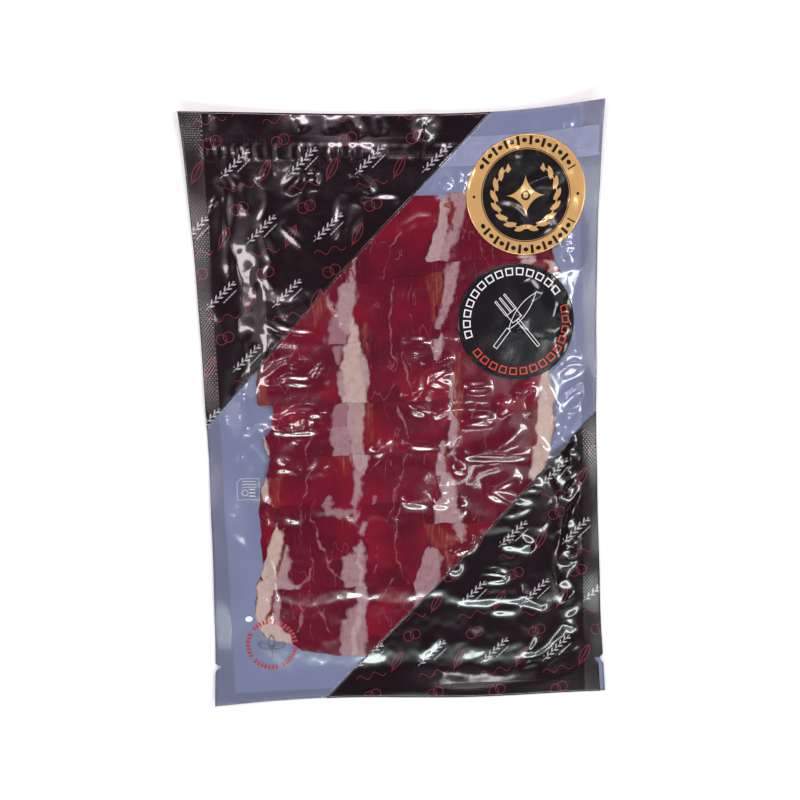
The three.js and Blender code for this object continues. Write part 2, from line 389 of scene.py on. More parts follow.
    def curl(self, x: Array, y: Array) -> Array:
        """Height of the curled corners: h * (distance past the bend / reach)^2.

        Args:
            x: Places across.
            y: Places along.

        Returns:
            The heights.
        """
        total = np.zeros(np.broadcast(x, y).shape)
        for curl in self.curls:
            past = (curl.across * x - self.half_width + curl.along * y - self.half_length) / math.sqrt(2.0)
            total += curl.height * (np.maximum(past + curl.reach, 0.0) / curl.reach) ** 2
        return total

    def back(self, x: Array, y: Array) -> Array:
        """Underside: 0 beneath the contents, lifted and rippled at the seals, curled at the corners.

        Args:
            x: Places across.
            y: Places along.

        Returns:
            The heights.
        """
        away = self.outside_ham(x, y) - self.ham_edge_wobble
        rise = smoothstep(away, 0.0, self.seal_lift_reach)
        ripple = self.seal_ripple * (np.sin(y / 12.0) + np.sin(x / 15.0 + y / 7.0))
        return rise * (self.seal_lift + ripple) + self.curl(x, y)

    def slice_relief(self, ends: Sequence[float], x: Array, y: Array) -> Array:
        """Sawtooth of a column of slices: it climbs to each exposed end and drops past it.

        The drop starts a little past the end, on a wavy line, and is wider at some places.

        Args:
            ends: y of the exposed ends, from the top down.
            x: Places across.
            y: Places along.

        Returns:
            The relief.
        """
        edges = (self.ham_top, *ends, self.ham_bottom)
        y = y + 1.0 + 0.5 * np.sin(x / 5.7 + y / 31.0)
        width = self.slice_edge_width + self.slice_edge_extra * (0.5 + 0.5 * np.sin(x / 6.1 + y / 19.0))
        total = np.zeros(y.shape)
        for upper, lower in zip(edges[:-1], edges[1:]):
            climb = np.clip((upper - y) / (upper - lower), 0.0, 1.0)
            drop = 1.0 - smoothstep((upper - y) / width, 0.0, 1.0) if upper < self.ham_top else 0.0
            total = np.where(y < upper, np.maximum(climb, drop), total)
        return self.slice_step * total

    def contents(self, x: Array, y: Array) -> Array:
        """Height that the sliced ham adds under the film.

        Args:
            x: Places across.
            y: Places along.

        Returns:
            The heights.
        """
        half = self.column_blend
        right = smoothstep(x, self.column_split - half, self.column_split + half)
        relief = self.slice_relief(self.left_ends, x, y) * (1.0 - right)
        relief += self.slice_relief(self.right_ends, x, y) * right
        return self.cover(x, y) * (self.stack(y) + relief)

    def zip_relief(self, x: Array, y: Array) -> Array:
        """Relief of the zip's band and of its two interlocking ridges.

        Args:
            x: Places across.
            y: Places along.

        Returns:
            The heights.
        """
        along = bell(np.maximum(np.abs(x) - self.zip_half_length + self.zip_taper, 0.0), self.zip_taper)
        band = smoothstep(self.zip_half_band - np.abs(y - self.zip_y), -0.6, 0.6)
        ridges = np.max([bell(y - ridge, self.zip_ridge_half_width) for ridge in self.zip_ridges], axis=0)
        return along * (self.zip_band_height * band + self.zip_ridge_height * ridges)


@dataclass(frozen=True)
class LightFrame:
    """The ring of studio lights that the glossy film mirrors, as an oval in the lamps' plane."""

    camera: Triple = (-8.0, 55.8, 386.6)  # The camera's place
    height: float = 1100.0  # Height of the lamps' plane
    middle: Pair = (35.0, -140.0)  # Middle of the oval
    reach: Pair = (630.0, 820.0)  # Half axes of the oval
    aim: float = 0.9  # Share of the exact slope that is used, as the film's slow waves add to it

    def slopes(self, x: Array, y: Array, dx: Array, dy: Array) -> tuple[Array, Array]:
        """Slopes at which the film mirrors the ring, for flanks facing (dx, dy) and the other way.

        A point mirrors the plane at m = p + (p - c) * h / c_z, and a slope s moves that by 2 * s * h.
        With everything divided by the oval's half axes, |m + t * d| = 1 gives both distances t.

        Args:
            x: Places across.
            y: Places along.
            dx: Unit direction of the flank, across.
            dy: Unit direction of the flank, along.

        Returns:
            Both slopes.
        """
        spread = self.height / self.camera[2]
        mx = (x + (x - self.camera[0]) * spread - self.middle[0]) / self.reach[0]
        my = (y + (y - self.camera[1]) * spread - self.middle[1]) / self.reach[1]
        ux, uy = dx / self.reach[0], dy / self.reach[1]
        a, b, c = ux * ux + uy * uy, mx * ux + my * uy, mx * mx + my * my - 1.0
        root = np.sqrt(np.maximum(b * b - a * c, 0.0))
        share = self.aim / 2.0
        return tuple(np.maximum(t / a, 0.0) * share / self.height for t in (root - b, root + b))


@dataclass(frozen=True)
class Crease:
    """A raised fold of the film along a smooth path, in millimetres.

    Its flank towards the nearer side of the ring of lights is narrower, and just steep enough to
    mirror it; the other flank is gentle.
    """

    path: Path
    steepness: float = 1.3  # Greatest slope, as a share of the slope that mirrors the lights
    half_width: float = 2.0  # Distance from the crest at which a third of the height is left
    skew: float = 0.15  # Share by which the gentle flank is wider and the other one narrower
    frame: LightFrame = LightFrame()
    fade: float = 4.6  # How steeply the height grows from both ends of the path
    uneven: float = 0.2  # Share by which the height varies along the path
    waves: Ripples = Ripples(12, 7.0, 18.0, 6)

    def add_to(self, total: Array, x: Array, y: Array, calm: Array | None = None) -> None:
        """Adds height * exp(-(distance / width)^2), whose greatest slope is 0.858 * height / width.

        Args:
            total: Heights that the fold is added to.
            x: Places across.
            y: Places along.
            calm: Share of the other folds that is left, which is lowered round this one.
        """
        points = rounded(self.path)
        reach = 3.0 * self.half_width * (1.0 + self.skew)
        low, high = points.min(axis=0) - reach, points.max(axis=0) + reach
        near = (x > low[0]) & (x < high[0]) & (y > low[1]) & (y < high[1])
        if not near.any():
            return
        dx, dy, share = path_offset(x[near], y[near], points)
        distance = np.maximum(np.hypot(dx, dy), 1e-6)
        own, other = self.frame.slopes(x[near], y[near], dx / distance, dy / distance)
        steep_side = smoothstep((other - own) / (other + own + 1e-6), -0.25, 0.25)
        width = self.half_width * (1.0 + self.skew * (1.0 - 2.0 * steep_side))
        height = self.steepness * np.minimum(own, other) * self.half_width * (1.0 - self.skew) / BELL_SLOPE
        closed = np.allclose(points[0], points[-1])
        taper = 1.0 if closed else np.clip(self.fade * share * (1.0 - share), 0.0, 1.0) ** 0.8
        taper = taper * (1.0 + self.uneven * self.waves.height(x[near], y[near]))
        total[near] += height * taper * np.exp(-((distance / width) ** 2))
        if calm is not None:
            calm[near] = np.minimum(calm[near], 1.0 - np.exp(-((1.4 * distance / reach) ** 4)))


# Crests of the thin folds: over the right half of the slices and beside it
FOLDS_RIGHT: tuple[Path, ...] = (
    ((12, 15), (19, 17), (22, 19)),
    ((12, 15), (14, 14), (21, 13)),
    ((27, 12), (34, 11), (39, 12)),
    ((41, 0), (43, 3), (45, 5), (45, 2), (41, -1)),
    ((49, 3), (50, 7), (54, 11), (58, 11), (58, 7), (55, -3)),
    ((25, -4), (34, -3), (41, -3)),
    ((24, -18), (33, -19), (56, -19)),
    ((21, -24), (27, -25)),
    ((16, -30), (18, -32), (17, -35)),
    ((35, -34), (45, -39), (51, -42)),
    ((62, 15), (66, 6), (69, -2), (66, -15), (64, -21)),
    ((59, -17), (60, -14), (64, -21)),
    ((67, -13), (69, -9), (70, -12), (75, -15)),
    ((67, -21), (65, -28), (69, -35), (69, -40), (66, -47), (70, -55)),
    ((-1, -12), (21, -14)),
    ((-2, -37), (11, -39)),
    ((12, -39), (20, -40)),
    ((3, 3), (9, 2), (11, 0), (10, -4)),
    ((13, -1), (17, 1), (21, 2)),
    ((21, -44), (24, -40), (26, -42), (23, -46)),
)

# On the lower right print
FOLDS_LOWER: tuple[Path, ...] = (
    ((48, -50), (50, -55), (57, -61)),
    ((23, -61), (27, -58), (30, -56), (29, -60), (23, -61)),
    ((20, -62), (24, -68), (21, -71), (20, -66), (20, -62)),
    ((32, -71), (42, -72), (44, -74), (41, -75), (33, -75)),
    ((52, -77), (51, -82), (61, -89)),
    ((51, -93), (56, -102), (53, -108), (55, -111), (64, -104), (69, -95)),
    ((71, -50), (70, -53), (66, -61), (64, -64), (64, -70), (66, -78), (71, -88), (67, -91)),
    ((65, -58), (66, -53), (69, -53), (66, -59)),
    ((66, -62), (74, -59), (77, -64), (74, -68), (69, -64)),
    ((67, -103), (69, -96), (73, -98), (75, -102), (70, -107)),
    ((77, -104), (76, -109), (63, -113), (60, -117), (61, -121)),
    ((49, -117), (54, -115), (60, -114)),
)

# On the upper left print, and round the top of the window
FOLDS_UPPER: tuple[Path, ...] = (
    ((-75, 102), (-72, 100), (-70, 97), (-71, 82), (-71, 54)),
    ((-53, 97), (-53, 92), (-58, 81)),
    ((-57, 82), (-55, 74), (-52, 66), (-56, 62), (-52, 55)),
    ((-58, 44), (-52, 38), (-41, 36), (-33, 35)),
    ((-19, 100), (-15, 102), (-10, 97), (-10, 93)),
    ((-47, 97), (-39, 105), (-39, 100), (-45, 96)),
    ((-35, 105), (-32, 102), (-35, 98)),
    ((-53, 106), (-54, 103), (-57, 101)),
    ((-77, 93), (-75, 91)),
    ((-15, 92), (2, 91)),
    ((64, 126), (69, 125)),
    ((72, 126), (75, 123), (72, 118)),
    ((19, 96), (24, 99)),
    ((69, 73), (71, 65), (73, 64)),
    ((73, 72), (74, 68)),
    ((68, 61), (64, 56)),
)

# Over the left half of the slices and beside it
FOLDS_LEFT: tuple[Path, ...] = (
    ((-61, 18), (-56, 19), (-52, 23), (-48, 25), (-45, 23), (-36, 24)),
    ((-61, 17), (-58, 15), (-52, 15), (-49, 17), (-40, 16), (-30, 16)),
    ((-58, 1), (-54, 0), (-46, 3), (-39, 3), (-32, 2)),
    ((-58, 1), (-56, -4), (-52, -5), (-43, -5), (-31, -4)),
    ((-67, -7), (-62, -4), (-59, -5), (-63, -6), (-67, -7)),
    ((-15, -15), (-10, -16), (-7, -11), (-6, -9)),
    ((-69, -8), (-70, -16), (-73, -22)),
    ((-68, -8), (-63, -18), (-65, -20)),
    ((-69, 11), (-65, 12), (-63, 10), (-69, 11)),
    ((-61, 39), (-62, 22), (-68, 15), (-73, 11)),
)

# Crests of the broad soft folds
BROAD_FOLDS: tuple[Path, ...] = (
    ((27, -18), (41, -15), (48, -12), (53, -6)),
    ((35, -34), (46, -30), (51, -28)),
    ((41, -45), (53, -43), (56, -40)),
    ((49, -36), (54, -33), (61, -34)),
    ((41, -58), (56, -61)),
    ((21, -84), (42, -83), (58, -86), (63, -89)),
    ((36, -89), (51, -89)),
    ((-22, 95), (-23, 85), (-24, 75)),
    ((-16, 90), (-20, 77)),
    ((-73, 129), (-71, 120)),
    ((-40, 128), (-37, 120)),
    ((-26, 127), (-26, 119)),
    ((-20, 128), (-17, 125), (-13, 117)),
    ((-6, 127), (-5, 118)),
    ((-55, -21), (-47, -21), (-43, -25)),
    ((-42, -25), (-37, -21), (-33, -25)),
    ((-48, -1), (-38, -1)),
    ((-37, 21), (-35, 19)),
)

# Folds that press up through the labels
LABEL_FOLDS: tuple[Path, ...] = (
    ((43, 100), (48, 97), (56, 96), (68, 101), (75, 102)),
    ((43, 88), (52, 86), (56, 78)),
    ((46, 111), (54, 109)),
    ((63, 82), (66, 77)),
    ((73, 90), (79, 88)),
    ((52, 42), (51, 34)),
    ((63, 56), (68, 46), (70, 41)),
    ((55, 57), (60, 49)),
)


class Ground(Enum):
    """Parts of the front film that wrinkle in their own way.

    Each value holds the part's range across and along, in millimetres, and the direction of its
    folds with that direction's spread, in degrees.
    """

    OVER_HAM = ((-60, 64), (-107, 89), 0, 26)
    RIGHT_HALF = ((5, 66), (-107, 60), 0, 52)
    HAM_RIGHT_EDGE = ((67, 75), (-45, 93), 0, 34)
    SIDE_RIGHT = ((66, 77), (-45, 104), 90, 40)
    BELOW_ZIP = ((-74, 74), (91, 106), 90, 20)
    FLAP = ((-80, 80), (120, 129), 90, 17)


@dataclass(frozen=True)
class FineFolds:
    """A scatter of short folds over one part of the film."""

    ground: Ground
    count: int  # How many there are
    length: Pair  # Shortest and longest fold, in millimetres
    steepness: Pair  # Least and greatest steepness, as shares of what mirrors the lights
    half_width: Pair  # Narrowest and widest half width
    seed: int

    def creases(self) -> list[Crease]:
        """Draws all the folds of the scatter, each a little bowed.

        Returns:
            The folds.
        """
        draw = np.random.default_rng(self.seed)
        across, along, direction, spread = self.ground.value
        folds = []
        for _ in range(self.count):
            middle = np.array([draw.uniform(*across), draw.uniform(*along)])
            angle = math.radians(draw.normal(direction, spread))
            half = draw.uniform(*self.length) / 2.0
            run = half * np.array([math.cos(angle), math.sin(angle)])
            bow = draw.normal(0.0, 0.25) * np.array([-run[1], run[0]])
            path = (tuple(middle - run), tuple(middle + bow), tuple(middle + run))
            folds.append(Crease(path, draw.uniform(*self.steepness), draw.uniform(*self.half_width)))
        return folds


@dataclass(frozen=True)
class FilmRelief:
    """Height of the front film, in millimetres: the pouch's form with every fold of the film."""

    form: PouchForm = PouchForm()
    seal_gap: float = 0.5  # Height over the underside where the pouch is empty
    zip_share: float = 0.08  # Share of the zip's relief that shows in the film
    pleats_each_side: int = 18
    pleat_pitch: float = 4.3
    pleat_shift: float = 1.2
    pleat_height: Pair = (0.1, 0.46)
    pleat_half_width: Pair = (1.5, 2.3)
    pleat_half_length: float = 4.2
    pleat_seed: int = 71
    label_smoothing: float = 0.85
    fine: Ripples = Ripples(6, 3.5, 7.0)
    fine_height: float = 0.025
    slow: Ripples = Ripples(5, 10.0, 28.0)
    slow_height: float = 0.1
    side_free: Pair = (-0.5, 5.0)  # Where the folds grow, inwards from the side seals
    bottom_free: Pair = (-0.5, 8.0)  # The same, from the bottom seal
    broad: Triple = (1.02, 3.0, 0.25)  # Broad folds' steepness, half width and skew
    label_centres: Path = ((55.2, 92.3), (50.1, 38.9))
    label_radius: float = 25.0
    scatters: tuple[FineFolds, ...] = (
        FineFolds(Ground.OVER_HAM, 26, (8.0, 24.0), (0.2, 0.85), (1.8, 2.8), 11),
        FineFolds(Ground.RIGHT_HALF, 9, (8.0, 18.0), (0.5, 1.1), (1.7, 2.4), 53),
        FineFolds(Ground.HAM_RIGHT_EDGE, 7, (7.0, 16.0), (0.3, 0.95), (1.8, 2.8), 29),
        FineFolds(Ground.BELOW_ZIP, 16, (7.0, 16.0), (0.5, 1.1), (2.0, 3.4), 37),
        FineFolds(Ground.FLAP, 8, (10.0, 18.0), (0.7, 1.1), (2.2, 3.4), 41),
        FineFolds(Ground.SIDE_RIGHT, 10, (5.0, 12.0), (0.4, 1.1), (1.6, 2.2), 61),
    )

    def zip_folds(self, x: Array, y: Array) -> Array:
        """Upright oval pleats between the zip's ridges, unevenly spaced and of uneven height.

        Args:
            x: Places across.
            y: Places along.

        Returns:
            The heights.
        """
        draw = np.random.default_rng(self.pleat_seed)
        total = np.zeros(x.shape)
        for number in range(-self.pleats_each_side, self.pleats_each_side + 1):
            middle = self.pleat_pitch * number + draw.uniform(-self.pleat_shift, self.pleat_shift)
            height = draw.uniform(*self.pleat_height)
            total = np.maximum(total, height * bell(x - middle, draw.uniform(*self.pleat_half_width)))
        return total * bell(y - self.form.zip_y, self.pleat_half_length)

    def free(self, x: Array, y: Array) -> Array:
        """Share of the folds that is left beside the welded seals."""
        inside = smoothstep(self.form.side_seal - np.abs(x), *self.side_free)
        return inside * smoothstep(y - self.form.bottom_seal, *self.bottom_free)

    def bare(self, x: Array, y: Array) -> Array:
        """Share of the fine folds that is left under the labels, which smooth the film: 1 beside them.

        Args:
            x: Places across.
            y: Places along.

        Returns:
            The shares.
        """
        total = np.ones(x.shape)
        for centre in self.label_centres:
            beside = np.hypot(x - centre[0], y - centre[1]) - self.label_radius
            total -= self.label_smoothing * (1.0 - smoothstep(beside, -1.0, 2.0))
        return total

    def folds(self, x: Array, y: Array) -> Array:
        """Sum of the main and the fine folds, and of the film's slow unevenness.

        Args:
            x: Places across.
            y: Places along.

        Returns:
            The heights.
        """
        bent = y + self.form.end_shift(x, y)
        main, fine, calm = np.zeros(x.shape), np.zeros(x.shape), np.ones(x.shape)
        for path in (*FOLDS_RIGHT, *FOLDS_LOWER, *FOLDS_UPPER, *FOLDS_LEFT):
            Crease(path).add_to(main, x, bent, calm)
        for path in (*BROAD_FOLDS, *LABEL_FOLDS):
            Crease(path, *self.broad).add_to(main, x, bent, calm)
        for scatter in self.scatters:
            for crease in scatter.creases():
                crease.add_to(fine, x, y)
        fine += self.fine_height * self.fine.height(x, y)
        slow = self.slow_height * self.slow.height(x, y)
        return (main + self.bare(x, y) * calm * fine + slow) * self.free(x, y)

    def height(self, x: Array, y: Array) -> Array:
        """Height of the film's upper side before the pouch's ends are bent.

        Args:
            x: Places across.
            y: Places along.

        Returns:
            The heights.
        """
        form = self.form
        base = form.back(x, y) + self.seal_gap + form.contents(x, y)
        return base + self.zip_share * form.zip_relief(x, y) + self.zip_folds(x, y) + self.folds(x, y)


# -------- Meshes --------


def grid_quads(rows: int, columns: int) -> Array:
    """Faces of a grid whose points are numbered row by row, counter-clockwise seen from above."""
    start = (np.arange(rows - 1)[:, None] * columns + np.arange(columns - 1)).ravel()
    return np.stack([start, start + 1, start + columns + 1, start + columns], axis=1)


def rim_edges(faces: Sequence[Array]) -> Array:
    """Directed edges that only one face has, in that face's direction.

    Args:
        faces: Groups of faces with equally many corners each.

    Returns:
        One row of (from, to) for each edge of the rim.
    """
    edges = np.vstack([np.stack([f, np.roll(f, -1, axis=1)], axis=2).reshape(-1, 2) for f in faces if len(f)])
    size = int(edges.max()) + 1
    forward = edges[:, 0].astype(np.int64) * size + edges[:, 1]
    backward = edges[:, 1].astype(np.int64) * size + edges[:, 0]
    return edges[~np.isin(forward, backward)]


@dataclass
class Sheet:
    """A thin closed layer: an upper and a lower side on the same faces, joined round the rim."""

    name: str
    x: Array  # Places across of the points
    y: Array  # Places along, before the pouch's ends are bent
    top: Array  # Heights of the upper side
    bottom: Array  # Heights of the lower side
    faces: Sequence[Array]  # Groups of faces of the upper side, counter-clockwise from above
    values: dict[str, Array] = field(default_factory=dict)  # Named values of the points, for the finish

    def build(self, form: PouchForm, material: Material, slot: str) -> Piece:
        """Makes the closed mesh and puts it in the scene, on the pouch's body.

        Args:
            form: The pouch, whose ends bend every layer.
            material: The piece's finish.
            slot: Material slot of the record that the finish stands for.

        Returns:
            The new piece.
        """
        used = np.unique(np.concatenate([f.ravel() for f in self.faces if len(f)]))
        number = np.full(self.x.size, -1)
        number[used] = np.arange(used.size)
        faces = [number[f] for f in self.faces if len(f)]
        x, y = self.x.ravel()[used], self.y.ravel()[used]
        y = y + form.end_shift(x, y)
        layers = [np.stack([x, y, z.ravel()[used]], axis=1) for z in (self.top, self.bottom)]
        below = [used.size + f[:, ::-1] for f in faces]
        rim = rim_edges(faces)
        wall = np.stack([rim[:, 1], rim[:, 0], rim[:, 0] + used.size, rim[:, 1] + used.size], axis=1)
        polygons = [f.tolist() for f in (*faces, *below, wall)]
        mesh = bpy.data.meshes.new(self.name)
        mesh.from_pydata((np.vstack(layers) * MM).tolist(), [], [p for group in polygons for p in group])
        smooth = np.ones(len(mesh.polygons), bool)
        smooth[-len(wall):] = False
        mesh.polygons.foreach_set("use_smooth", smooth)
        for key, value in self.values.items():
            self.write_value(mesh, key, value, used)
        mesh.validate()
        mesh.update()
        return dress(bpy.data.objects.new(self.name, mesh), material, slot)

    def write_value(self, mesh: Mesh, key: str, value: Array, used: Array) -> None:
        """Stores one named value, a number or three numbers a point, on both sides of the layer.

        Args:
            mesh: The layer's mesh.
            key: The value's name.
            value: The values of all points.
            used: Numbers of the points that the mesh keeps.
        """
        vector = value.ndim > self.x.ndim
        kept = value.reshape(-1, 3)[used] if vector else value.ravel()[used]
        attribute = mesh.attributes.new(key, "FLOAT_VECTOR" if vector else "FLOAT", "POINT")
        attribute.data.foreach_set("vector" if vector else "value", np.concatenate([kept, kept]).ravel())


def dress(piece: Piece, material: Material, slot: str) -> Piece:
    """Links a new piece into the scene, with its finish and its body.

    Args:
        piece: The new object.
        material: Its finish.
        slot: Not used.

    Returns:
        The same object.
    """
    bpy.context.scene.collection.objects.link(piece)
    piece.data.materials.append(material)
    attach(piece, "root")
    LOG.info("%s: %d faces", piece.name, len(piece.data.polygons))
    return piece


# -------- Shader building --------


class Amount:
    """A number that varies over a surface, carried by a shader socket."""

    def __init__(self, bench: "Workbench", socket: Socket) -> None:
        """Keeps the socket and its material's workbench."""
        self.bench = bench
        self.socket = socket

    def math(self, operation: str, *others: "Amount | float", clamp: bool = False) -> "Amount":
        """Adds a Math node fed with this amount and the others.

        Args:
            operation: The node's operation.
            others: Its further inputs.
            clamp: Whether the result is kept between 0 and 1.

        Returns:
            The result.
        """
        feeds = dict(enumerate((self, *others)))
        node = self.bench.node("Math", feeds, operation=operation, use_clamp=clamp)
        return Amount(self.bench, node.outputs[0])

    __add__ = partialmethod(math, "ADD")
    __sub__ = partialmethod(math, "SUBTRACT")
    __mul__ = partialmethod(math, "MULTIPLY")
    __truediv__ = partialmethod(math, "DIVIDE")
    __abs__ = partialmethod(math, "ABSOLUTE")
    # Of two shapes' distances, the smaller is their union's and the larger their overlap's
    least = partialmethod(math, "MINIMUM")
    most = partialmethod(math, "MAXIMUM")

    def wrap(self, period: float) -> "Amount":
        """The amount repeated each period, from minus to plus half of it."""
        return self.math("WRAP", period / 2.0, -period / 2.0)

    def ramp(self, low: float, high: float) -> "Amount":
        """Straight ramp from 0 at low to 1 at high."""
        return (self - low).math("DIVIDE", high - low, clamp=True)

    def within(self, limit: float, soft: float = 0.06) -> "Amount":
        """Mask that is 1 where the amount is under the limit, with a soft edge."""
        return self.ramp(limit + soft, limit - soft)


# What an input of a shader node may get
Feed = Amount | Socket | Shader | float | Colour | None


def length_of(x: Amount, y: Amount) -> Amount:
    """Length of the vector (x, y)."""
    return (x * x + y * y).math("SQRT")


def polar(x: Amount, y: Amount) -> tuple[Amount, Amount]:
    """Distance from the middle, and direction from it."""
    return length_of(x, y), y.math("ARCTAN2", x)


def turned(x: Amount, y: Amount, degrees: float) -> tuple[Amount, Amount]:
    """Coordinates in axes turned counter-clockwise by an angle."""
    c, s = math.cos(math.radians(degrees)), math.sin(math.radians(degrees))
    return x * c + y * s, y * c - x * s


def box_distance(x: Amount, y: Amount, half_x: float, half_y: float) -> Amount:
    """Distance outside a rectangle, max(|x| - a, |y| - b)."""
    return (abs(x) - half_x).most(abs(y) - half_y)


def lens_distance(x: Amount, y: Amount, half_length: float, half_width: float) -> Amount:
    """Distance outside a pointed leaf: the overlap of two discs of radius (l^2 + w^2) / 2w.

    Args:
        x: Place along the leaf.
        y: Place across it.
        half_length: Half of its length.
        half_width: Half of its width.

    Returns:
        The distance.
    """
    radius = (half_length**2 + half_width**2) / (2.0 * half_width)
    offset = radius - half_width
    return length_of(x, y - offset).most(length_of(x, y + offset)) - radius


class Workbench:
    """A new material's node tree, with the few moves that the finishes share."""

    def __init__(self, name: str) -> None:
        """Starts an empty material.

        Args:
            name: The material's name.
        """
        self.material = bpy.data.materials.new(name)
        self.material.use_nodes = True
        self.tree = self.material.node_tree
        self.tree.nodes.clear()
        self.coordinates = self.node("TexCoord", {}).outputs["Object"]

    def node(self, kind: str, feeds: dict[int | str, Feed], **settings: str | bool) -> Shader:
        """Adds a node: inputs that get a socket or a node are linked, and those that get a constant are set.

        Args:
            kind: The node's type, without its usual beginning.
            feeds: What each input gets, by the input's name or number.
            settings: The node's own settings.

        Returns:
            The node.
        """
        node = self.tree.nodes.new("ShaderNode" + kind)
        for key, setting in settings.items():
            setattr(node, key, setting)
        for key, feed in feeds.items():
            target = node.inputs[key]
            if isinstance(feed, Shader):
                feed = feed.outputs[0]
            if isinstance(feed, Amount):
                feed = feed.socket
            if isinstance(feed, Socket):
                self.tree.links.new(feed, target)
            elif feed is not None:
                target.default_value = (*feed, 1.0) if target.type == "RGBA" else feed
        return node

    def place(self) -> tuple[Amount, Amount]:
        """Object coordinates x and y, in millimetres."""
        split = self.node("SeparateXYZ", {0: self.coordinates})
        return tuple(Amount(self, split.outputs[i]) / MM for i in range(2))

    def value(self, key: str) -> Amount:
        """A named value of the points."""
        return Amount(self, self.node("Attribute", {}, attribute_name=key).outputs["Fac"])

    def vector(self, key: str) -> Socket:
        """A named vector of the points."""
        return self.node("Attribute", {}, attribute_name=key).outputs["Vector"]

    def stretched(self, source: Socket, scale: Triple) -> Socket:
        """Coordinates multiplied along each axis."""
        return self.node("Mapping", {"Scale": scale, "Vector": source}).outputs[0]

    def shifted(self, source: Socket, x: Amount, y: Amount) -> Socket:
        """Coordinates moved by two amounts."""
        move = self.node("CombineXYZ", {0: x, 1: y})
        return self.node("VectorMath", {0: source, 1: move}, operation="ADD").outputs[0]

    def noise(self, source: Socket, size: float, detail: float = 2.0, rough: float = 0.5) -> Amount:
        """Fractal noise from about 0 to 1, with blobs of the given size in the source's units."""
        feeds = {"Scale": 1.0 / size, "Detail": detail, "Roughness": rough, "Vector": source}
        return Amount(self, self.node("TexNoise", feeds).outputs["Fac"])

    def blend(self, share: Amount | float, first: Shader, second: Shader) -> Shader:
        """Shader that goes from the first to the second as the share goes from 0 to 1."""
        return self.node("MixShader", {0: share, 1: first, 2: second})

    def mix(self, share: Amount, first: Feed, second: Feed) -> Socket:
        """Colour that goes from the first to the second as the share goes from 0 to 1."""
        return self.node("Mix", {"Factor": share, 6: first, 7: second}, data_type="RGBA").outputs[2]

    def bump(self, height: Amount, distance: float, strength: float = 1.0) -> Socket:
        """Normal of a fine relief whose height of 1 stands for the given distance in metres."""
        return self.node("Bump", {"Distance": distance, "Strength": strength, "Height": height}).outputs[0]

    def clouded(self, colour: Colour, size: float, factor: float, top: float = 0.7) -> Socket:
        """Colour that goes over into itself times a factor in soft clouds of the given size."""
        cloud = self.noise(self.coordinates, size).ramp(0.3, top)
        return self.mix(cloud, colour, tuple(c * factor for c in colour))

    def paper(self) -> Socket:
        """Normal of coated paper's faint unevenness."""
        return self.bump(self.noise(self.coordinates, 0.004), 0.00004)

    def finish(self, shader: Shader) -> Material:
        """Feeds the shader to the material's output and returns the material."""
        self.node("OutputMaterial", {"Surface": shader})
        return self.material

    def opaque(
        self, colour: Feed, roughness: float, normal: Feed = None, further: dict[str, Feed] | None = None
    ) -> Material:
        """Finishes the material with the main shader.

        Args:
            colour: Base colour.
            roughness: Roughness.
            normal: Normal of a fine relief.
            further: What further inputs get, by their names.

        Returns:
            The material.
        """
        feeds = {"Base Color": colour, "Roughness": roughness, "Normal": normal, **(further or {})}
        return self.finish(self.node("BsdfPrincipled", feeds))


# -------- Finishes --------


@dataclass(frozen=True)
class SealEmboss:
    """Fine woven relief pressed into the welded seals, and the dotted rows beside the zip."""

    across: float = 1.3
    along: float = 1.8
    dot_pitch: float = 1.7
    form: PouchForm = PouchForm()

    def height(self, x: Amount, y: Amount) -> Amount:
        """Relief from 0 to 1: cos * cos makes a brick pattern of dots in the seals.

        Args:
            x: Place across.
            y: Place along.

        Returns:
            The relief.
        """
        turn = 2.0 * math.pi
        weave = (x * (turn / self.across)).math("COSINE") * (y * (turn / self.along)).math("COSINE")
        side = (abs(x) - self.form.side_seal).ramp(-0.2, 0.2)
        bottom = (y - self.form.bottom_seal).ramp(0.2, -0.2) * 0.35
        rows = abs(y - self.form.zip_y + 0.4)
        near_row = abs(rows - 5.2).within(0.7, 0.2).most(abs(rows - 3.6).within(0.35, 0.2))
        dots = (x * (turn / self.dot_pitch)).math("COSINE").ramp(0.2, 0.9)
        along = abs(x).within(self.form.zip_half_length, 0.5)
        return side.most(bottom) * (weave * 0.4 + 0.5) + near_row * dots * along * 0.16


@dataclass(frozen=True)
class BackFilmFinish:
    """Satin opaque film of grey blue, a little greyer where it is welded."""

    colour: Colour = (0.195, 0.225, 0.37)
    welded: Colour = (0.13, 0.14, 0.22)
    roughness: float = 0.38
    form: PouchForm = PouchForm()

    def material(self) -> Material:
        """Builds the material.

        Returns:
            The material.
        """
        bench = Workbench("back_film")
        x, y = bench.place()
        side = (abs(x) - self.form.side_seal).ramp(-0.4, 0.4)
        seals = side.most((y - self.form.bottom_seal).ramp(0.4, -0.4))
        base = bench.clouded(self.colour, 0.03, 0.9, 0.75)
        colour = bench.mix(seals * 0.8, base, self.welded)
        normal = bench.bump(SealEmboss().height(x, y), 0.00008, 0.6)
        return bench.opaque(colour, self.roughness, normal)


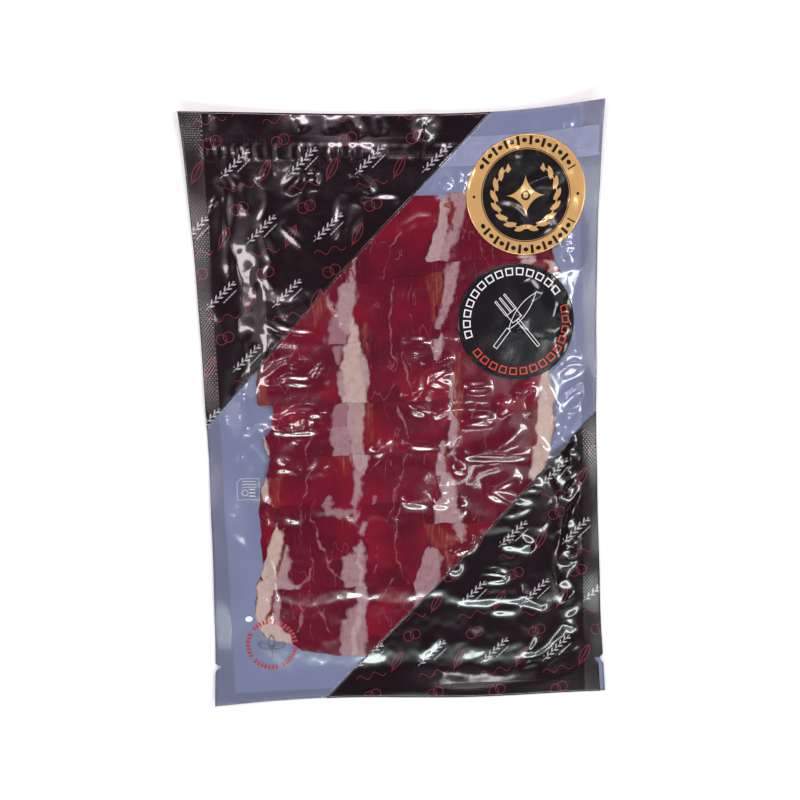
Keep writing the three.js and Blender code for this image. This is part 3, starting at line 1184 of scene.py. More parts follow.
@dataclass(frozen=True)
class FilmGloss:
    """Gloss of thin plastic film: a sharp reflection with a soft one round it."""

    sharp: float = 0.12  # Roughness of the sharp reflection
    soft: float = 0.24  # Roughness of the soft one
    soft_share: float = 0.35  # Share of the soft one
    facing: float = 0.052  # Reflected share where the film is seen head-on
    relief: float = 0.00008  # Depth of the seals' weave and of the film's fine unevenness, in metres

    def over(self, bench: Workbench, body: Shader, x: Amount, y: Amount) -> Material:
        """Finishes a film whose reflections have the share f + (1 - f) * (1 - cos)^5.

        Args:
            bench: The material's workbench.
            body: Shader under the gloss.
            x: Place across.
            y: Place along.

        Returns:
            The material.
        """
        fine = bench.noise(bench.coordinates, 0.0035)
        normal = bench.bump(SealEmboss().height(x, y) + fine * 0.2, self.relief)
        shines = [
            bench.node("BsdfGlossy", {"Roughness": roughness, "Normal": normal}, distribution="BECKMANN")
            for roughness in (self.sharp, self.soft)
        ]
        weight = bench.node("LayerWeight", {"Blend": 0.5, "Normal": normal})
        slant = Amount(bench, weight.outputs["Facing"])
        share = slant.math("POWER", 5.0) * (1.0 - self.facing) + self.facing
        return bench.finish(bench.blend(share, body, bench.blend(self.soft_share, *shines)))


@dataclass(frozen=True)
class ClearFilmFinish:
    """Clear window film with its own small prints: a round mark, an outlined mark and a spot."""

    gloss: FilmGloss = FilmGloss()
    ring_centre: Pair = (-61.2, -101.3)
    ring_radius: float = 10.6
    red: Colour = (0.45, 0.02, 0.03)
    teal: Colour = (0.015, 0.035, 0.05)
    white: Colour = (0.75, 0.76, 0.8)
    clear: Colour = (0.97, 0.97, 0.975)
    mark_centre: Pair = (-67.8, -30.2)
    spot_centre: Pair = (-70.7, -88.9)

    def red_ring(self, x: Amount, y: Amount) -> Amount:
        """Mask of a ring of short strokes round the lower left corner's mark.

        Args:
            x: Place across.
            y: Place along.

        Returns:
            The mask.
        """
        radius, angle = polar(x - self.ring_centre[0], y - self.ring_centre[1])
        stroke = abs(angle.wrap(math.radians(9.0)) * self.ring_radius).within(0.42)
        band = abs(radius - self.ring_radius).within(0.95)
        gap = abs(angle.wrap(math.radians(72.0))).ramp(math.radians(4.0), math.radians(5.0))
        return stroke * band * gap

    def teal_figure(self, x: Amount, y: Amount) -> Amount:
        """Mask of thin outlines of three leaves on a stem.

        Args:
            x: Place across.
            y: Place along.

        Returns:
            The mask.
        """
        u, v = x - self.ring_centre[0], y - self.ring_centre[1]
        lines = box_distance(u, v + 3.6, 0.0, 2.2)
        for turn, out in ((20.0, 3.4), (90.0, 3.2), (160.0, 3.4)):
            a, b = turned(u, v + 1.6, turn)
            lines = lines.least(abs(lens_distance(a - out, b, 3.1, 1.3)))
        return lines.within(0.16)

    def white_mark(self, x: Amount, y: Amount) -> Amount:
        """Mask of an outlined square with a cut corner, a ring, bars and dashes, and of a round spot.

        Args:
            x: Place across.
            y: Place along.

        Returns:
            The mask.
        """
        u, v = x - self.mark_centre[0], y - self.mark_centre[1]
        corner = (v - u) * 0.7071 - 5.6
        outline = abs(box_distance(u, v, 4.9, 4.7).most(corner)).within(0.1)
        ring = abs(length_of(u + 1.6, v + 1.6) - 1.3).within(0.16)
        bars = box_distance(u - 1.6, (v + 1.6).wrap(1.5), 1.3, 0.22).most(abs(v + 1.6) - 1.7).within(0.05)
        dashes = box_distance(u.wrap(1.2), (v - 2.2).wrap(1.3), 0.4, 0.16)
        words = dashes.most(box_distance(u - 0.5, v - 2.2, 3.0, 1.4)).within(0.05)
        spot_x, spot_y = x - self.spot_centre[0], y - self.spot_centre[1]
        spot = length_of(spot_x, spot_y * 1.2).within(1.6, 0.2)
        faint = outline.most(ring).most(bars).most(words) * 0.55
        return faint.most(spot)

    def material(self) -> Material:
        """Builds the material.

        Returns:
            The material.
        """
        bench = Workbench("clear_film")
        x, y = bench.place()
        clear = bench.node("BsdfTransparent", {"Color": self.clear})
        red, teal, white = self.red_ring(x, y), self.teal_figure(x, y), self.white_mark(x, y)
        ink_colour = bench.mix(red, bench.mix(teal, self.white, self.teal), self.red)
        ink = bench.node("BsdfDiffuse", {"Color": ink_colour})
        body = bench.blend(red.most(teal).most(white), clear, ink)
        return self.gloss.over(bench, body, x, y)


@dataclass(frozen=True)
class PrintedFilmFinish:
    """Film printed glossy black, with slanting rows of small pale shapes and thin red outlines.

    The design repeats in fields of the size pitch, and each row of fields is moved by row_shift.
    """

    black: Colour = (0.009, 0.004, 0.006)
    pale: Colour = (0.5, 0.5, 0.52)
    red: Colour = (0.3, 0.03, 0.05)
    pitch: Pair = (28.0, 27.0)
    row_shift: float = 9.5
    slant: float = 43.0
    line: float = 0.13
    gloss: FilmGloss = FilmGloss(sharp=0.1, soft=0.26, soft_share=0.4, facing=0.088)

    def pale_row(self, a: Amount, b: Amount) -> Amount:
        """Mask of a long stem with small leaves on both sides, over a short dashed line.

        Args:
            a: Place along the row.
            b: Place across it.

        Returns:
            The mask.
        """
        period = 2.6
        lines = box_distance(a, b, 8.4, 0.0)
        for side in (1.0, -1.0):
            u, v = turned((a - 0.65 * side).wrap(period), b - 0.75 * side, 34.0 * side)
            lines = lines.least(lens_distance(u, v, 0.95, 0.2).most(abs(a - 0.6) - 7.2))
        under = box_distance((a - 2.0).wrap(1.5), b + 3.1, 0.45, 0.08).most(abs(a - 2.4) - 3.7)
        return lines.least(under).within(0.8 * self.line, 0.08)

    def outlines(self, x: Amount, y: Amount) -> Amount:
        """Mask of a leaf with its rib, of two linked rings and of a long wave, drawn as thin lines.

        Args:
            x: Place across.
            y: Place along.

        Returns:
            The mask.
        """
        a, b = turned((x - 12.4).wrap(self.pitch[0]), (y + 3.0).wrap(self.pitch[1]), 62.0)
        leaf = abs(lens_distance(a, b, 4.8, 1.7)).least(box_distance(a + 0.8, b, 5.0, 0.0))
        a, b = turned((x + 8.6).wrap(self.pitch[0]), (y - 8.8).wrap(self.pitch[1]), 20.0)
        rings = abs(length_of(a - 1.6, b) - 2.2).least(abs(length_of(a + 1.6, b) - 2.2))
        a, b = turned((x - 0.6).wrap(self.pitch[0]), (y + 9.6).wrap(self.pitch[1]), 12.0)
        wave = abs(b - (a * 0.9).math("SINE") * 1.2).most(abs(a) - 6.8)
        return leaf.least(rings).least(wave).within(0.7 * self.line, 0.08)

    def material(self) -> Material:
        """Builds the material.

        Returns:
            The material.
        """
        bench = Workbench("printed_film")
        x, y = bench.place()
        field_x = x + (y / self.pitch[1]).math("ROUND") * self.row_shift
        a, b = turned(field_x.wrap(self.pitch[0]), y.wrap(self.pitch[1]), self.slant)
        pale, red = self.pale_row(a, b), self.outlines(field_x, y)
        colour = bench.mix(pale * 0.85, bench.mix(red, self.black, self.red), self.pale)
        body = bench.node("BsdfDiffuse", {"Color": colour})
        return self.gloss.over(bench, body, x, y)


@dataclass(frozen=True)
class HamFinish:
    """Cured ham: deep red fibrous lean, pink to cream fat, thin pale veins and dried orange edges."""

    lean_dark: Colour = (0.068, 0.0015, 0.011)
    lean: Colour = (0.165, 0.003, 0.02)
    lean_bright: Colour = (0.25, 0.004, 0.022)
    fibre: Colour = (0.3, 0.016, 0.035)
    vein: Colour = (0.4, 0.15, 0.17)
    vein_lean: Colour = (0.24, 0.05, 0.07)
    fat_veil: Colour = (0.31, 0.15, 0.18)
    fat_pink: Colour = (0.42, 0.285, 0.29)
    fat_cream: Colour = (0.56, 0.42, 0.36)
    dried: Colour = (0.2, 0.018, 0.015)
    dried_pale: Colour = (0.36, 0.1, 0.075)

    def lean_colour(self, bench: Workbench, grain: Socket) -> Socket:
        """Lean meat: slow patches of dark and bright red, crossed by fine lengthwise fibres.

        Args:
            bench: The material's workbench.
            grain: Coordinates along the slice's own grain.

        Returns:
            The colour.
        """
        patches = bench.noise(grain, 13.0, 3.0, 0.55).ramp(0.32, 0.7)
        level = (patches * 0.6 + bench.value("shade") * 0.4).math("MULTIPLY", 1.0, clamp=True)
        bright = bench.noise(bench.shifted(grain, patches * 9.0, patches * 4.0), 26.0).ramp(0.5, 0.66)
        fibres = bench.noise(bench.stretched(grain, (1.6, 0.16, 1.0)), 1.0, 3.0, 0.6).ramp(0.3, 0.75)
        red = bench.mix(level, self.lean_dark, self.lean)
        red = bench.mix(bright * 0.75, red, self.lean_bright)
        return bench.mix(fibres * 0.2, red, self.fibre)

    def veins(self, bench: Workbench, grain: Socket) -> Amount:
        """Mask of the placed veins, ragged and broken, and of finer wandering ones between them.

        Args:
            bench: The material's workbench.
            grain: Coordinates along the slice's own grain.

        Returns:
            The mask.
        """
        fray = (bench.noise(grain, 1.1, 3.0, 0.6) - 0.5) * 0.8
        kept = bench.noise(grain, 3.4, 3.0).ramp(0.36, 0.54)
        main = (bench.value("vein") + fray).ramp(-0.1, 0.3) * (kept * 0.8 + 0.2)
        level = bench.noise(bench.stretched(grain, (1.0, 0.3, 1.0)), 7.0, 2.5, 0.5)
        thin = abs(level - 0.5).ramp(0.009, 0.002)
        spread = bench.noise(bench.shifted(grain, level * 10.0, level * 3.0), 9.0).ramp(0.5, 0.62)
        return main.most(thin * spread * 0.55)

    def material(self) -> Material:
        """Builds the material.

        Returns:
            The material.
        """
        bench = Workbench("sliced_ham")
        grain = bench.vector("grain")
        ragged = bench.noise(bench.stretched(grain, (1.0, 0.5, 1.0)), 2.4, 5.0, 0.7)
        fray = (ragged - 0.5) * 4.2
        fat_depth, dried_depth = bench.value("fat") + fray, bench.value("dried")
        fat = fat_depth.ramp(-0.5, 0.8)
        dried = (dried_depth + fray * 0.8).ramp(-0.5, 1.4)
        threads = bench.noise(bench.stretched(grain, (2.4, 0.22, 1.0)), 1.0, 3.0, 0.6).ramp(0.32, 0.72)
        mottle = bench.noise(grain, 2.6, 4.0, 0.6).ramp(0.35, 0.7)
        tone = bench.value("tone") + (mottle - 0.5) * 0.4 + (threads - 0.5) * 0.3
        pale = bench.mix(tone.ramp(0.0, 0.5), self.fat_veil, self.fat_pink)
        fat_colour = bench.mix(tone.ramp(0.5, 0.95), pale, self.fat_cream)
        show = (threads * mottle).ramp(0.3, 0.8) * (tone.ramp(0.9, 0.2) * 0.5 + 0.16)
        fat_colour = bench.mix(show, fat_colour, self.vein_lean)
        border = fat_depth.ramp(1.1, 0.1) * 0.25
        fat_colour = bench.mix(border, fat_colour, self.fat_pink)
        fibres = bench.noise(bench.stretched(grain, (1.4, 0.12, 1.0)), 1.0, 3.0, 0.6)
        dry_colour = bench.mix(fibres.ramp(0.45, 0.7), self.dried, self.dried_pale)
        lean = bench.mix(dried * 0.8, self.lean_colour(bench, grain), dry_colour)
        lean = bench.mix(self.veins(bench, grain) * 0.75, lean, self.vein)
        line = (dried_depth + fray * 0.2).ramp(-0.1, 0.15) * dried_depth.ramp(1.2, 0.5)
        colour = bench.mix(fat, lean, bench.mix(line * 0.8, fat_colour, self.dried))
        normal = bench.bump(fibres + mottle * 0.4, 0.0002, 0.5)
        return bench.opaque(colour, 0.5, normal, {"Specular IOR Level": 0.05})


@dataclass(frozen=True)
class ZipFinish:
    """Milky translucent plastic of the zip's strip."""

    colour: Colour = (0.26, 0.29, 0.42)

    def material(self) -> Material:
        """Builds the material."""
        bench = Workbench("zip_plastic")
        return bench.opaque(bench.clouded(self.colour, 0.004, 1.15), 0.3)


@dataclass(frozen=True)
class GoldLabelFinish:
    """Round label: satin gold ring with black ticks round a black disc with two gold sprigs and a star."""

    centre: Pair
    stretch: float
    tick_radius: float = 21.8
    gold: Colour = (0.68, 0.4, 0.155)
    black: Colour = (0.007, 0.006, 0.007)

    def ticks(self, radius: Amount, angle: Amount) -> Amount:
        """Mask of upright bars and beads in turn along two arcs, with a dot at each side.

        Args:
            radius: Distance from the label's middle.
            angle: Direction from the middle.

        Returns:
            The mask.
        """
        pitch, middle = math.radians(14.0), self.tick_radius
        out = radius - middle
        bars = abs(angle.wrap(pitch) * middle).within(0.62) * abs(out).within(1.8)
        beads = lens_distance((angle + pitch / 2.0).wrap(pitch) * middle, out, 1.1, 0.9).within(0.0)
        arcs = abs(abs(angle) - math.pi / 2.0).within(math.radians(62.0), 0.01)
        dots = length_of(out, angle.wrap(math.pi) * middle).within(0.6)
        return (bars.most(beads) * arcs).most(dots)

    def sprig(self, x: Amount, y: Amount) -> Amount:
        """Mask of two curved sprigs of leaves round a bold star of four points.

        Args:
            x: Place across, from the label's middle.
            y: Place along, from there.

        Returns:
            The mask.
        """
        side = abs(x)
        angle = side.math("ARCTAN2", y * -1.0)
        radius = length_of(side, y)
        step = math.radians(20.0)
        leaf_a, leaf_b = turned((angle - step / 2.0).wrap(step) * 13.4, radius - 13.4, 32.0)
        leaves = lens_distance(leaf_a, leaf_b, 2.9, 1.05).most((angle - math.radians(150.0)) * 13.4)
        stem = abs(radius - 13.2).most((angle - math.radians(146.0)) * 13.2) - 0.25
        star = side.math("POWER", 0.6) + abs(y).math("POWER", 0.6) - 8.4**0.6
        star = star.most(radius * -1.0 + 2.0).least(radius - 1.1)
        return leaves.least(stem).least(star).within(0.0)

    def material(self) -> Material:
        """Builds the material.

        Returns:
            The material.
        """
        bench = Workbench("gold_label")
        x, y = bench.place()
        u, v = x - self.centre[0], (y - self.centre[1]) / self.stretch
        radius, angle = polar(u, v)
        ring = radius.ramp(18.75, 18.85)
        thin = abs(radius - 18.35).within(0.1)
        gold = (ring * (self.ticks(radius, angle) * -1.0 + 1.0)).most(thin).most(self.sprig(u, v))
        colour = bench.mix(gold, self.black, bench.clouded(self.gold, 0.02, 1.12))
        return bench.opaque(colour, 0.16, bench.paper(), {"Metallic": gold * 0.35})


@dataclass(frozen=True)
class BlackLabelFinish:
    """Round black label: arcs of white and red dashes round a thin outline of a knife and a fork."""

    centre: Pair
    dash_radius: float = 21.2
    black: Colour = (0.01, 0.009, 0.011)
    white: Colour = (0.8, 0.8, 0.82)
    red: Colour = (0.6, 0.06, 0.03)

    def dashes(self, radius: Amount, angle: Amount, middle: float, half_arc: float) -> Amount:
        """Mask of outlined dashes along an arc.

        Args:
            radius: Distance from the label's middle.
            angle: Direction from the middle.
            middle: Angle of the arc's middle, in degrees.
            half_arc: Half of the arc, in degrees.

        Returns:
            The mask.
        """
        pitch = math.radians(12.0)
        local = (angle - math.radians(middle)).wrap(2.0 * math.pi)
        along, out = (local + pitch / 2.0).wrap(pitch) * self.dash_radius, radius - self.dash_radius
        bar = abs(box_distance(along, out, 1.35, 1.35))
        inside = abs(local).within(math.radians(half_arc), 0.01)
        return bar.within(0.24) * inside

    def cutlery(self, x: Amount, y: Amount) -> Amount:
        """Mask of the outlines of a crossed knife and fork.

        Args:
            x: Place across, from the label's middle.
            y: Place along, from there.

        Returns:
            The mask.
        """
        a, b = turned(x + 1.0, y, 52.0)
        blade = abs(lens_distance(a - 5.6, b, 9.6, 2.0))
        knife = blade.least(abs(box_distance(a + 8.8, b, 4.8, 0.9)))
        c, d = turned(x - 1.0, y, 128.0)
        handle = abs(box_distance(c + 6.2, d, 7.2, 0.6))
        head = abs(box_distance(c - 3.2, d, 2.0, 2.4))
        tines = abs(box_distance(c - 9.0, d.wrap(2.4), 3.8, 0.35)).most(abs(d) - 3.0)
        return knife.least(handle).least(head).least(tines).within(0.13)

    def material(self) -> Material:
        """Builds the material.

        Returns:
            The material.
        """
        bench = Workbench("black_label")
        x, y = bench.place()
        u, v = x - self.centre[0], y - self.centre[1]
        radius, angle = polar(u, v)
        white = self.dashes(radius, angle, 115.0, 84.0).most(self.cutlery(u, v))
        red = self.dashes(radius, angle, -65.0, 84.0)
        colour = bench.mix(white, bench.mix(red, self.black, self.red), self.white)
        return bench.opaque(colour, 0.13, bench.paper())


# -------- Sub-assemblies --------


@dataclass(frozen=True)
class BackFilm:
    """The opaque back film, a thin closed sheet that the pouch lies on."""

    form: PouchForm
    spacing: float = 1.6
    thickness: float = 0.14

    def build(self) -> Piece:
        """Makes the sheet over the pouch's whole outline.

        Returns:
            The piece.
        """
        columns = round(self.form.width / self.spacing) + 1
        rows = round(self.form.length / self.spacing) + 1
        x, y = self.form.grid(columns, rows)
        bottom = self.form.back(x, y)
        sheet = Sheet("back_film", x, y, bottom + self.thickness, bottom, [grid_quads(rows, columns)])
        return sheet.build(self.form, BackFilmFinish().material(), "back_film")


@dataclass(frozen=True)
class FrontFilm:
    """The front film: a clear diagonal window between two corners printed black.

    Its grid has cells whose diagonals run along the window's edges, so each edge is a clean cut.
    """

    relief: FilmRelief
    across: int = 230  # Cells from side to side
    along: int = 332  # Cells from end to end
    window_top: float = 41.2  # Where the window's upper left edge meets the open end, in millimetres
    window_bottom: float = -38.2  # Where its lower right edge meets the bottom end
    thickness: float = 0.1
    setback: int = 3  # Cells by which the print stops short of the right side below the notch

    def build(self) -> list[Piece]:
        """Makes the window and the two printed corners.

        Returns:
            The three pieces.
        """
        form = self.relief.form
        x, y = form.grid(self.across + 1, self.along + 1)
        top = self.relief.height(x, y)
        cell = self.across / form.width
        upper = round(self.along - (self.window_top + form.half_width) * cell)
        lower = -round((self.window_bottom + form.half_width) * cell)
        pieces = []
        clear, printed = ClearFilmFinish().material(), PrintedFilmFinish().material()
        for name, low, high, material, slot in (
            ("film_window", lower, upper, clear, "clear_film"),
            ("film_print_upper", upper, NO_LIMIT, printed, "printed_film"),
            ("film_print_lower", -NO_LIMIT, lower, printed, "printed_film"),
        ):
            faces = self.strip(low, high, trim=name == "film_print_lower")
            sheet = Sheet(name, x, y, top, top - self.thickness, faces)
            pieces.append(sheet.build(form, material, slot))
        return pieces

    def strip(self, low: int, high: int, trim: bool) -> list[Array]:
        """Faces between two cell diagonals, with triangles along both.

        Args:
            low: Number of the diagonal on the lower right.
            high: Number of the diagonal on the upper left.
            trim: Whether the cells past the setback are left out.

        Returns:
            The four-sided faces, the lower right triangles and the upper left triangles.
        """
        row, column = np.mgrid[0 : self.along, 0 : self.across]
        offset = row - column
        start = row * (self.across + 1) + column
        right, far, up = start + 1, start + self.across + 2, start + self.across + 1
        kept = np.ones(start.shape, bool)
        if trim:
            form = self.relief.form
            notch_row = (form.right_notch_y + form.half_length) / form.length * self.along
            kept = ~((column >= self.across - self.setback) & (row < notch_row))
        below = (offset - 1 >= low) & (offset <= high) & kept
        above = (offset >= low) & (offset + 1 <= high) & kept
        both = below & above
        quads = np.stack([start, right, far, up], axis=-1)[both]
        lower = np.stack([start, right, far], axis=-1)[below & ~both]
        upper = np.stack([start, far, up], axis=-1)[above & ~both]
        return [quads, lower, upper]


@dataclass(frozen=True)
class ZipStrip:
    """The zip's plastic strip with two ribs, between the two films."""

    form: PouchForm
    half_length: float = 85.6
    spacing: float = 0.8
    lift: float = 0.18
    rows: int = 33
    thickness: float = 0.1
    ridge_share: float = 0.1

    def build(self) -> Piece:
        """Makes the strip.

        Returns:
            The piece.
        """
        half, band = self.half_length, self.form.zip_half_band
        columns = round(2.0 * half / self.spacing) + 1
        across, along = np.linspace(-half, half, columns), np.linspace(-band, band, self.rows)
        x, y = np.meshgrid(across, self.form.zip_y + along)
        bottom = self.form.back(x, y) + self.lift
        top = bottom + self.thickness + self.ridge_share * self.form.zip_relief(x, y)
        sheet = Sheet("zip_strip", x, y, top, bottom, [grid_quads(self.rows, columns)])
        return sheet.build(self.form, ZipFinish().material(), "clear_film")


@dataclass(frozen=True)
class Fat:
    """A streak of fat: 0 is a thin purplish veil over lean, 0.5 pink and 1 cream."""

    tone: float
    streak: Streak


@dataclass(frozen=True)
class Slice:
    """One slice of ham, in millimetres."""

    upper: float  # y where the slice above it ends, or the stack's top
    end: float  # y of its own exposed lower end
    left: Path  # Points (y, x) of its left side, from low to high y
    right: Path  # Points (y, x) of its right side, from low to high y
    fat: tuple[Fat, ...] = ()
    dried: tuple[Streak, ...] = ()
    veins: tuple[Streak, ...] = ()  # Thin pale veins, as (x, y, half width) points
    rise: Path = ((-70.0, 0.0), (70.0, 0.0))  # Points (x, rise) by which its end lies higher than the end's y


LEFT_COLUMN = (
    Slice(
        91.0, 57.0, left=((57, -61), (93, -58)), right=((57, 20), (66, 17), (88, 20)),
        fat=(Fat(0.4, ((-18, 68, 0.6), (-19, 61, 1.4), (-20, 56, 3.4))),),
        dried=(((-20, 62, 1.4), (-19, 56, 2.6)), ((-30, 62, 0.5), (-33, 56, 3))),
        veins=(((2, 79, 0.4), (-2, 74, 0.3), (-4, 66, 0.2), (-6, 59, 0.2)),),
        rise=((-62, 0), (-10, 0.6), (18, 4)),
    ),
    Slice(
        60.0, 31.0, left=((31, -62), (57, -61)), right=((31, 21), (57, 22)),
        fat=(
            Fat(0.45, ((-20, 60, 3.4), (-22, 50, 3.8), (-23, 44, 3.8), (-24, 39, 4.4))),
            Fat(0.0, ((-25, 41, 3.8), (-26, 37, 4.3), (-26, 30, 3.2))),
            Fat(0.85, ((-20, 43, 0.8), (-19, 36, 2), (-20, 29, 2.9))),
            Fat(0.2, ((-30, 52, 0.8), (-29, 49, 1.3))),
        ),
        dried=(
            ((17, 62, 4), (16, 57, 3.4), (16, 49, 3), (16, 41, 2)), ((-14, 40, 0.8), (-15, 31, 1.6)),
            ((-33, 58, 3), (-34, 48, 3.5), (-36, 40, 1)),
        ),
        veins=(
            ((-2, 56, 0.4), (-3, 47, 0.3), (-4, 39, 0.5), (-4, 32, 0.3)), ((-45, 35, 0.2), (-45, 30, 0.2)),
        ),
        rise=((-62, 0), (18, 1.6)),
    ),
    Slice(
        32.5, 6.0, left=((6, -62), (22, -61), (31, -60)), right=((6, 21), (31, 20)),
        fat=(
            Fat(0.85, ((-20, 33, 3), (-20, 26, 4.4), (-20, 20, 5.9), (-20, 5, 5.6))),
            Fat(0.55, ((-17, 26, 2.6), (-16, 18, 2.8), (-17, 11, 2.4), (-18, 7, 1.4))),
            Fat(0.4, ((-25, 19, 2.2), (-25, 15, 2.6), (-24, 10, 2))),
            Fat(0.0, ((-26, 30, 1.8), (-27, 25, 1))),
        ),
        dried=(((-58, 17, 2.2), (-60, 11, 2.9), (-59, 5, 3.4)), ((-14, 33, 1.6), (-14, 26, 0.8))),
        veins=(
            ((-45, 31, 0.2), (-46, 28, 0.2), (-47, 25, 0.2)), ((-4, 33, 0.4), (-3, 27, 0.5), (-2, 24, 0.3)),
            ((1, 27, 0.4), (2, 20, 0.7), (4, 13, 0.3), (6, 5, 0.3)),
            ((-3, 15, 0.3), (-5, 10, 0.3), (-8, 6, 0.2)), ((-39, 13, 0.2), (-42, 9, 0.2), (-45, 6, 0.2)),
        ),
    ),
    Slice(
        6.5, -16.6, left=((-17, -59), (-13, -60), (-9, -60), (-6, -57), (5, -55)), right=((-17, 20), (6, 21)),
        fat=(
            Fat(0.0, ((-25, 7, 2.6), (-26, 2, 3.2), (-27, -2, 3.4))),
            Fat(0.5, ((-20, 7, 4.3), (-20, 1, 4.2), (-20, -8, 2.9), (-19, -17, 2.8))),
            Fat(0.28, ((-27, -6, 4), (-27, -10, 4.2), (-26, -14, 4.2))),
            Fat(0.9, ((-60, -10, 1.5), (-59, -14, 1.4), (-60, -17, 0.8))),
        ),
        dried=(((-14, 6, 1.6), (-14, -2, 1.4), (-14, -10, 1.8)),),
        veins=(
            ((-37, -5, 0.3), (-40, -9, 0.4), (-41, -12, 0.4), (-42, -16, 0.2)),
            ((-1, 5, 0.3), (-1, 1, 0.9), (1, -4, 0.4), (3, -10, 0.3), (4, -16, 0.3)),
        ),
    ),
    Slice(
        -15.4, -38.5,
        left=((-38, -58), (-36, -62), (-30, -62), (-25, -60), (-17, -57)), right=((-38, 17), (-17, 20)),
        fat=(
            Fat(0.6, ((-19, -16, 4.4), (-19, -21, 3.2), (-18, -25, 1))),
            Fat(0.35, ((-20, -22, 2), (-20, -29, 2), (-21, -36, 1.6), (-22, -43, 1.2))),
            Fat(0.15, ((-33, -36, 1.6), (-34, -39, 2.2))),
            Fat(0.9, ((-61, -25, 0.6), (-61, -30, 2.6), (-61, -37, 3.4))),
        ),
        dried=(((-54, -24, 1.2), (-55, -31, 1.9), (-57, -39, 1.8)), ((-25, -17, 3.6), (-25, -24, 1.6))),
        veins=(
            ((-38, -17, 0.2), (-40, -20, 0.3), (-42, -28, 0.4), (-44, -35, 0.3), (-45, -39, 0.2)),
            ((-39, -35, 0.3), (-40, -39, 0.2)), ((-8, -16, 0.4), (-11, -21, 0.4), (-14, -23, 0.3)),
            ((2, -16, 0.3), (0, -23, 0.3), (-3, -32, 0.3), (-5, -39, 0.3)),
            ((-2, -26, 0.3), (-5, -35, 0.4), (-6, -40, 0.3)), ((-13, -35, 0.9), (-14, -39, 0.5)),
        ),
    ),
    Slice(
        -37.4, -77.0, left=((-77, -64), (-70, -64), (-61, -62), (-50, -58), (-39, -55)),
        right=((-77, 8), (-48, 16), (-38, 17)),
        fat=(
            Fat(0.1, ((-35, -38, 1.6), (-33, -41, 1.4), (-28, -42, 1.7), (-23, -41, 1.6))),
            Fat(0.3, ((-21, -38, 1.2), (-22, -45, 1))), Fat(0.35, ((-18, -48, 1.5), (-19, -51, 1.1))),
            Fat(0.4, ((-20, -55, 0.9), (-21, -59, 2.2), (-20, -63, 2.4))),
            Fat(0.3, ((-23, -65, 4.8), (-24, -70, 5.4), (-23, -74, 4.5), (-21, -79, 3))),
            Fat(0.7, ((-20, -59, 0.7), (-21, -66, 0.8), (-20, -74, 0.9), (-20, -79, 1.1))),
            Fat(0.95, ((-56, -46, 0.8), (-56, -51, 2.2), (-58, -58, 3.4), (-61, -67, 4))),
            Fat(0.95, ((-61, -67, 4), (-61, -72, 3.6), (-60, -79, 3.8))),
            Fat(0.4, ((-52, -56, 0.8), (-53, -63, 1.9), (-55, -69, 3), (-55, -73, 3.4))),
            Fat(0.45, ((-56, -74, 2.4), (-52, -75, 1.5), (-48, -76, 1.2))),
        ),
        dried=(
            ((12, -48, 2.6), (13, -53, 3.4), (15, -58, 3.4), (21, -58, 2.4)),
            ((-52, -52, 0.2), (-53.4, -59.2, 0.45), (-55.8, -65.3, 0.45), (-58, -70, 0.2)),
        ),
        veins=(
            ((-45, -38, 0.2), (-46, -44, 0.2), (-45, -51, 0.2), (-45, -55, 0.2)),
            ((-40, -38, 0.2), (-41, -46, 0.3), (-39, -50, 0.5), (-38, -54, 0.9), (-36, -61, 0.5)),
            ((-36, -61, 0.5), (-34, -66, 0.8), (-32, -72, 0.3), (-31, -77, 0.2)),
            ((-32, -62, 0.2), (-34, -65, 0.5)),
            ((-42, -54, 0.2), (-42, -59, 0.3), (-41, -65, 0.4), (-43, -70, 0.5), (-47, -75, 0.6)),
            ((-5, -37, 0.3), (-6, -43, 0.3), (-8, -46, 0.2)),
            ((-1, -38, 0.3), (-3, -45, 0.4), (-4, -51, 0.4), (-5, -61, 0.3), (-4, -65, 0.4)),
            ((-4, -65, 0.4), (-1, -72, 0.3), (1, -79, 0.3)), ((-13, -66, 0.5), (-14, -70, 0.4)),
            ((-6, -73, 0.4), (-9, -78, 0.4)),
        ),
    ),
    Slice(
        -76.0, -110.8, left=((-111, -48), (-107, -52), (-104, -59), (-98, -65), (-91, -68), (-79, -67)),
        right=((-109, 3), (-77, 6)),
        fat=(
            Fat(0.4, ((-20, -77, 2.7), (-20, -85, 2.3), (-21, -88, 2.6))),
            Fat(0.25, ((-23, -90, 4), (-24, -96, 5.8), (-25, -103, 6.1), (-25, -112, 5.4))),
            Fat(0.65, ((-21, -84, 0.9), (-22, -92, 0.9), (-24, -98, 1), (-25, -109, 1.1))),
            Fat(0.95, ((-63, -76, 4.2), (-64, -84, 3.8), (-65, -90, 3.8), (-61, -96, 5))),
            Fat(0.95, ((-61, -96, 5), (-58, -100, 4.8), (-55, -105, 4.4))),
            Fat(0.4, ((-58, -77, 0.9), (-58, -85, 1.6), (-59, -90, 1.8), (-58, -93, 2.2))),
        ),
        dried=(((-58, -76, 0.4), (-59, -81, 0.5), (-60, -87, 0.6), (-63, -91, 0.7)),),
        veins=(
            ((-48, -75, 0.4), (-48, -80, 0.3), (-48, -83, 0.3), (-47, -88, 0.8), (-48, -93, 1)),
            ((-48, -93, 1), (-49, -96, 0.5), (-50, -98, 0.2)),
            ((-43, -78, 0.5), (-44, -82, 0.3), (-45, -84, 0.2), (-46, -87, 0.2)),
            ((-42, -80, 0.3), (-40, -87, 0.5), (-38, -90, 0.7), (-37, -94, 0.3), (-35, -99, 0.2)),
            ((-35, -84, 0.2), (-38, -89, 0.5)), ((-9, -78, 0.4), (-11, -82, 0.3), (-13, -78, 0.3)),
        ),
        rise=((-57, 5), (-40, 2.2), (-23, 0), (10, 0)),
    ),
)

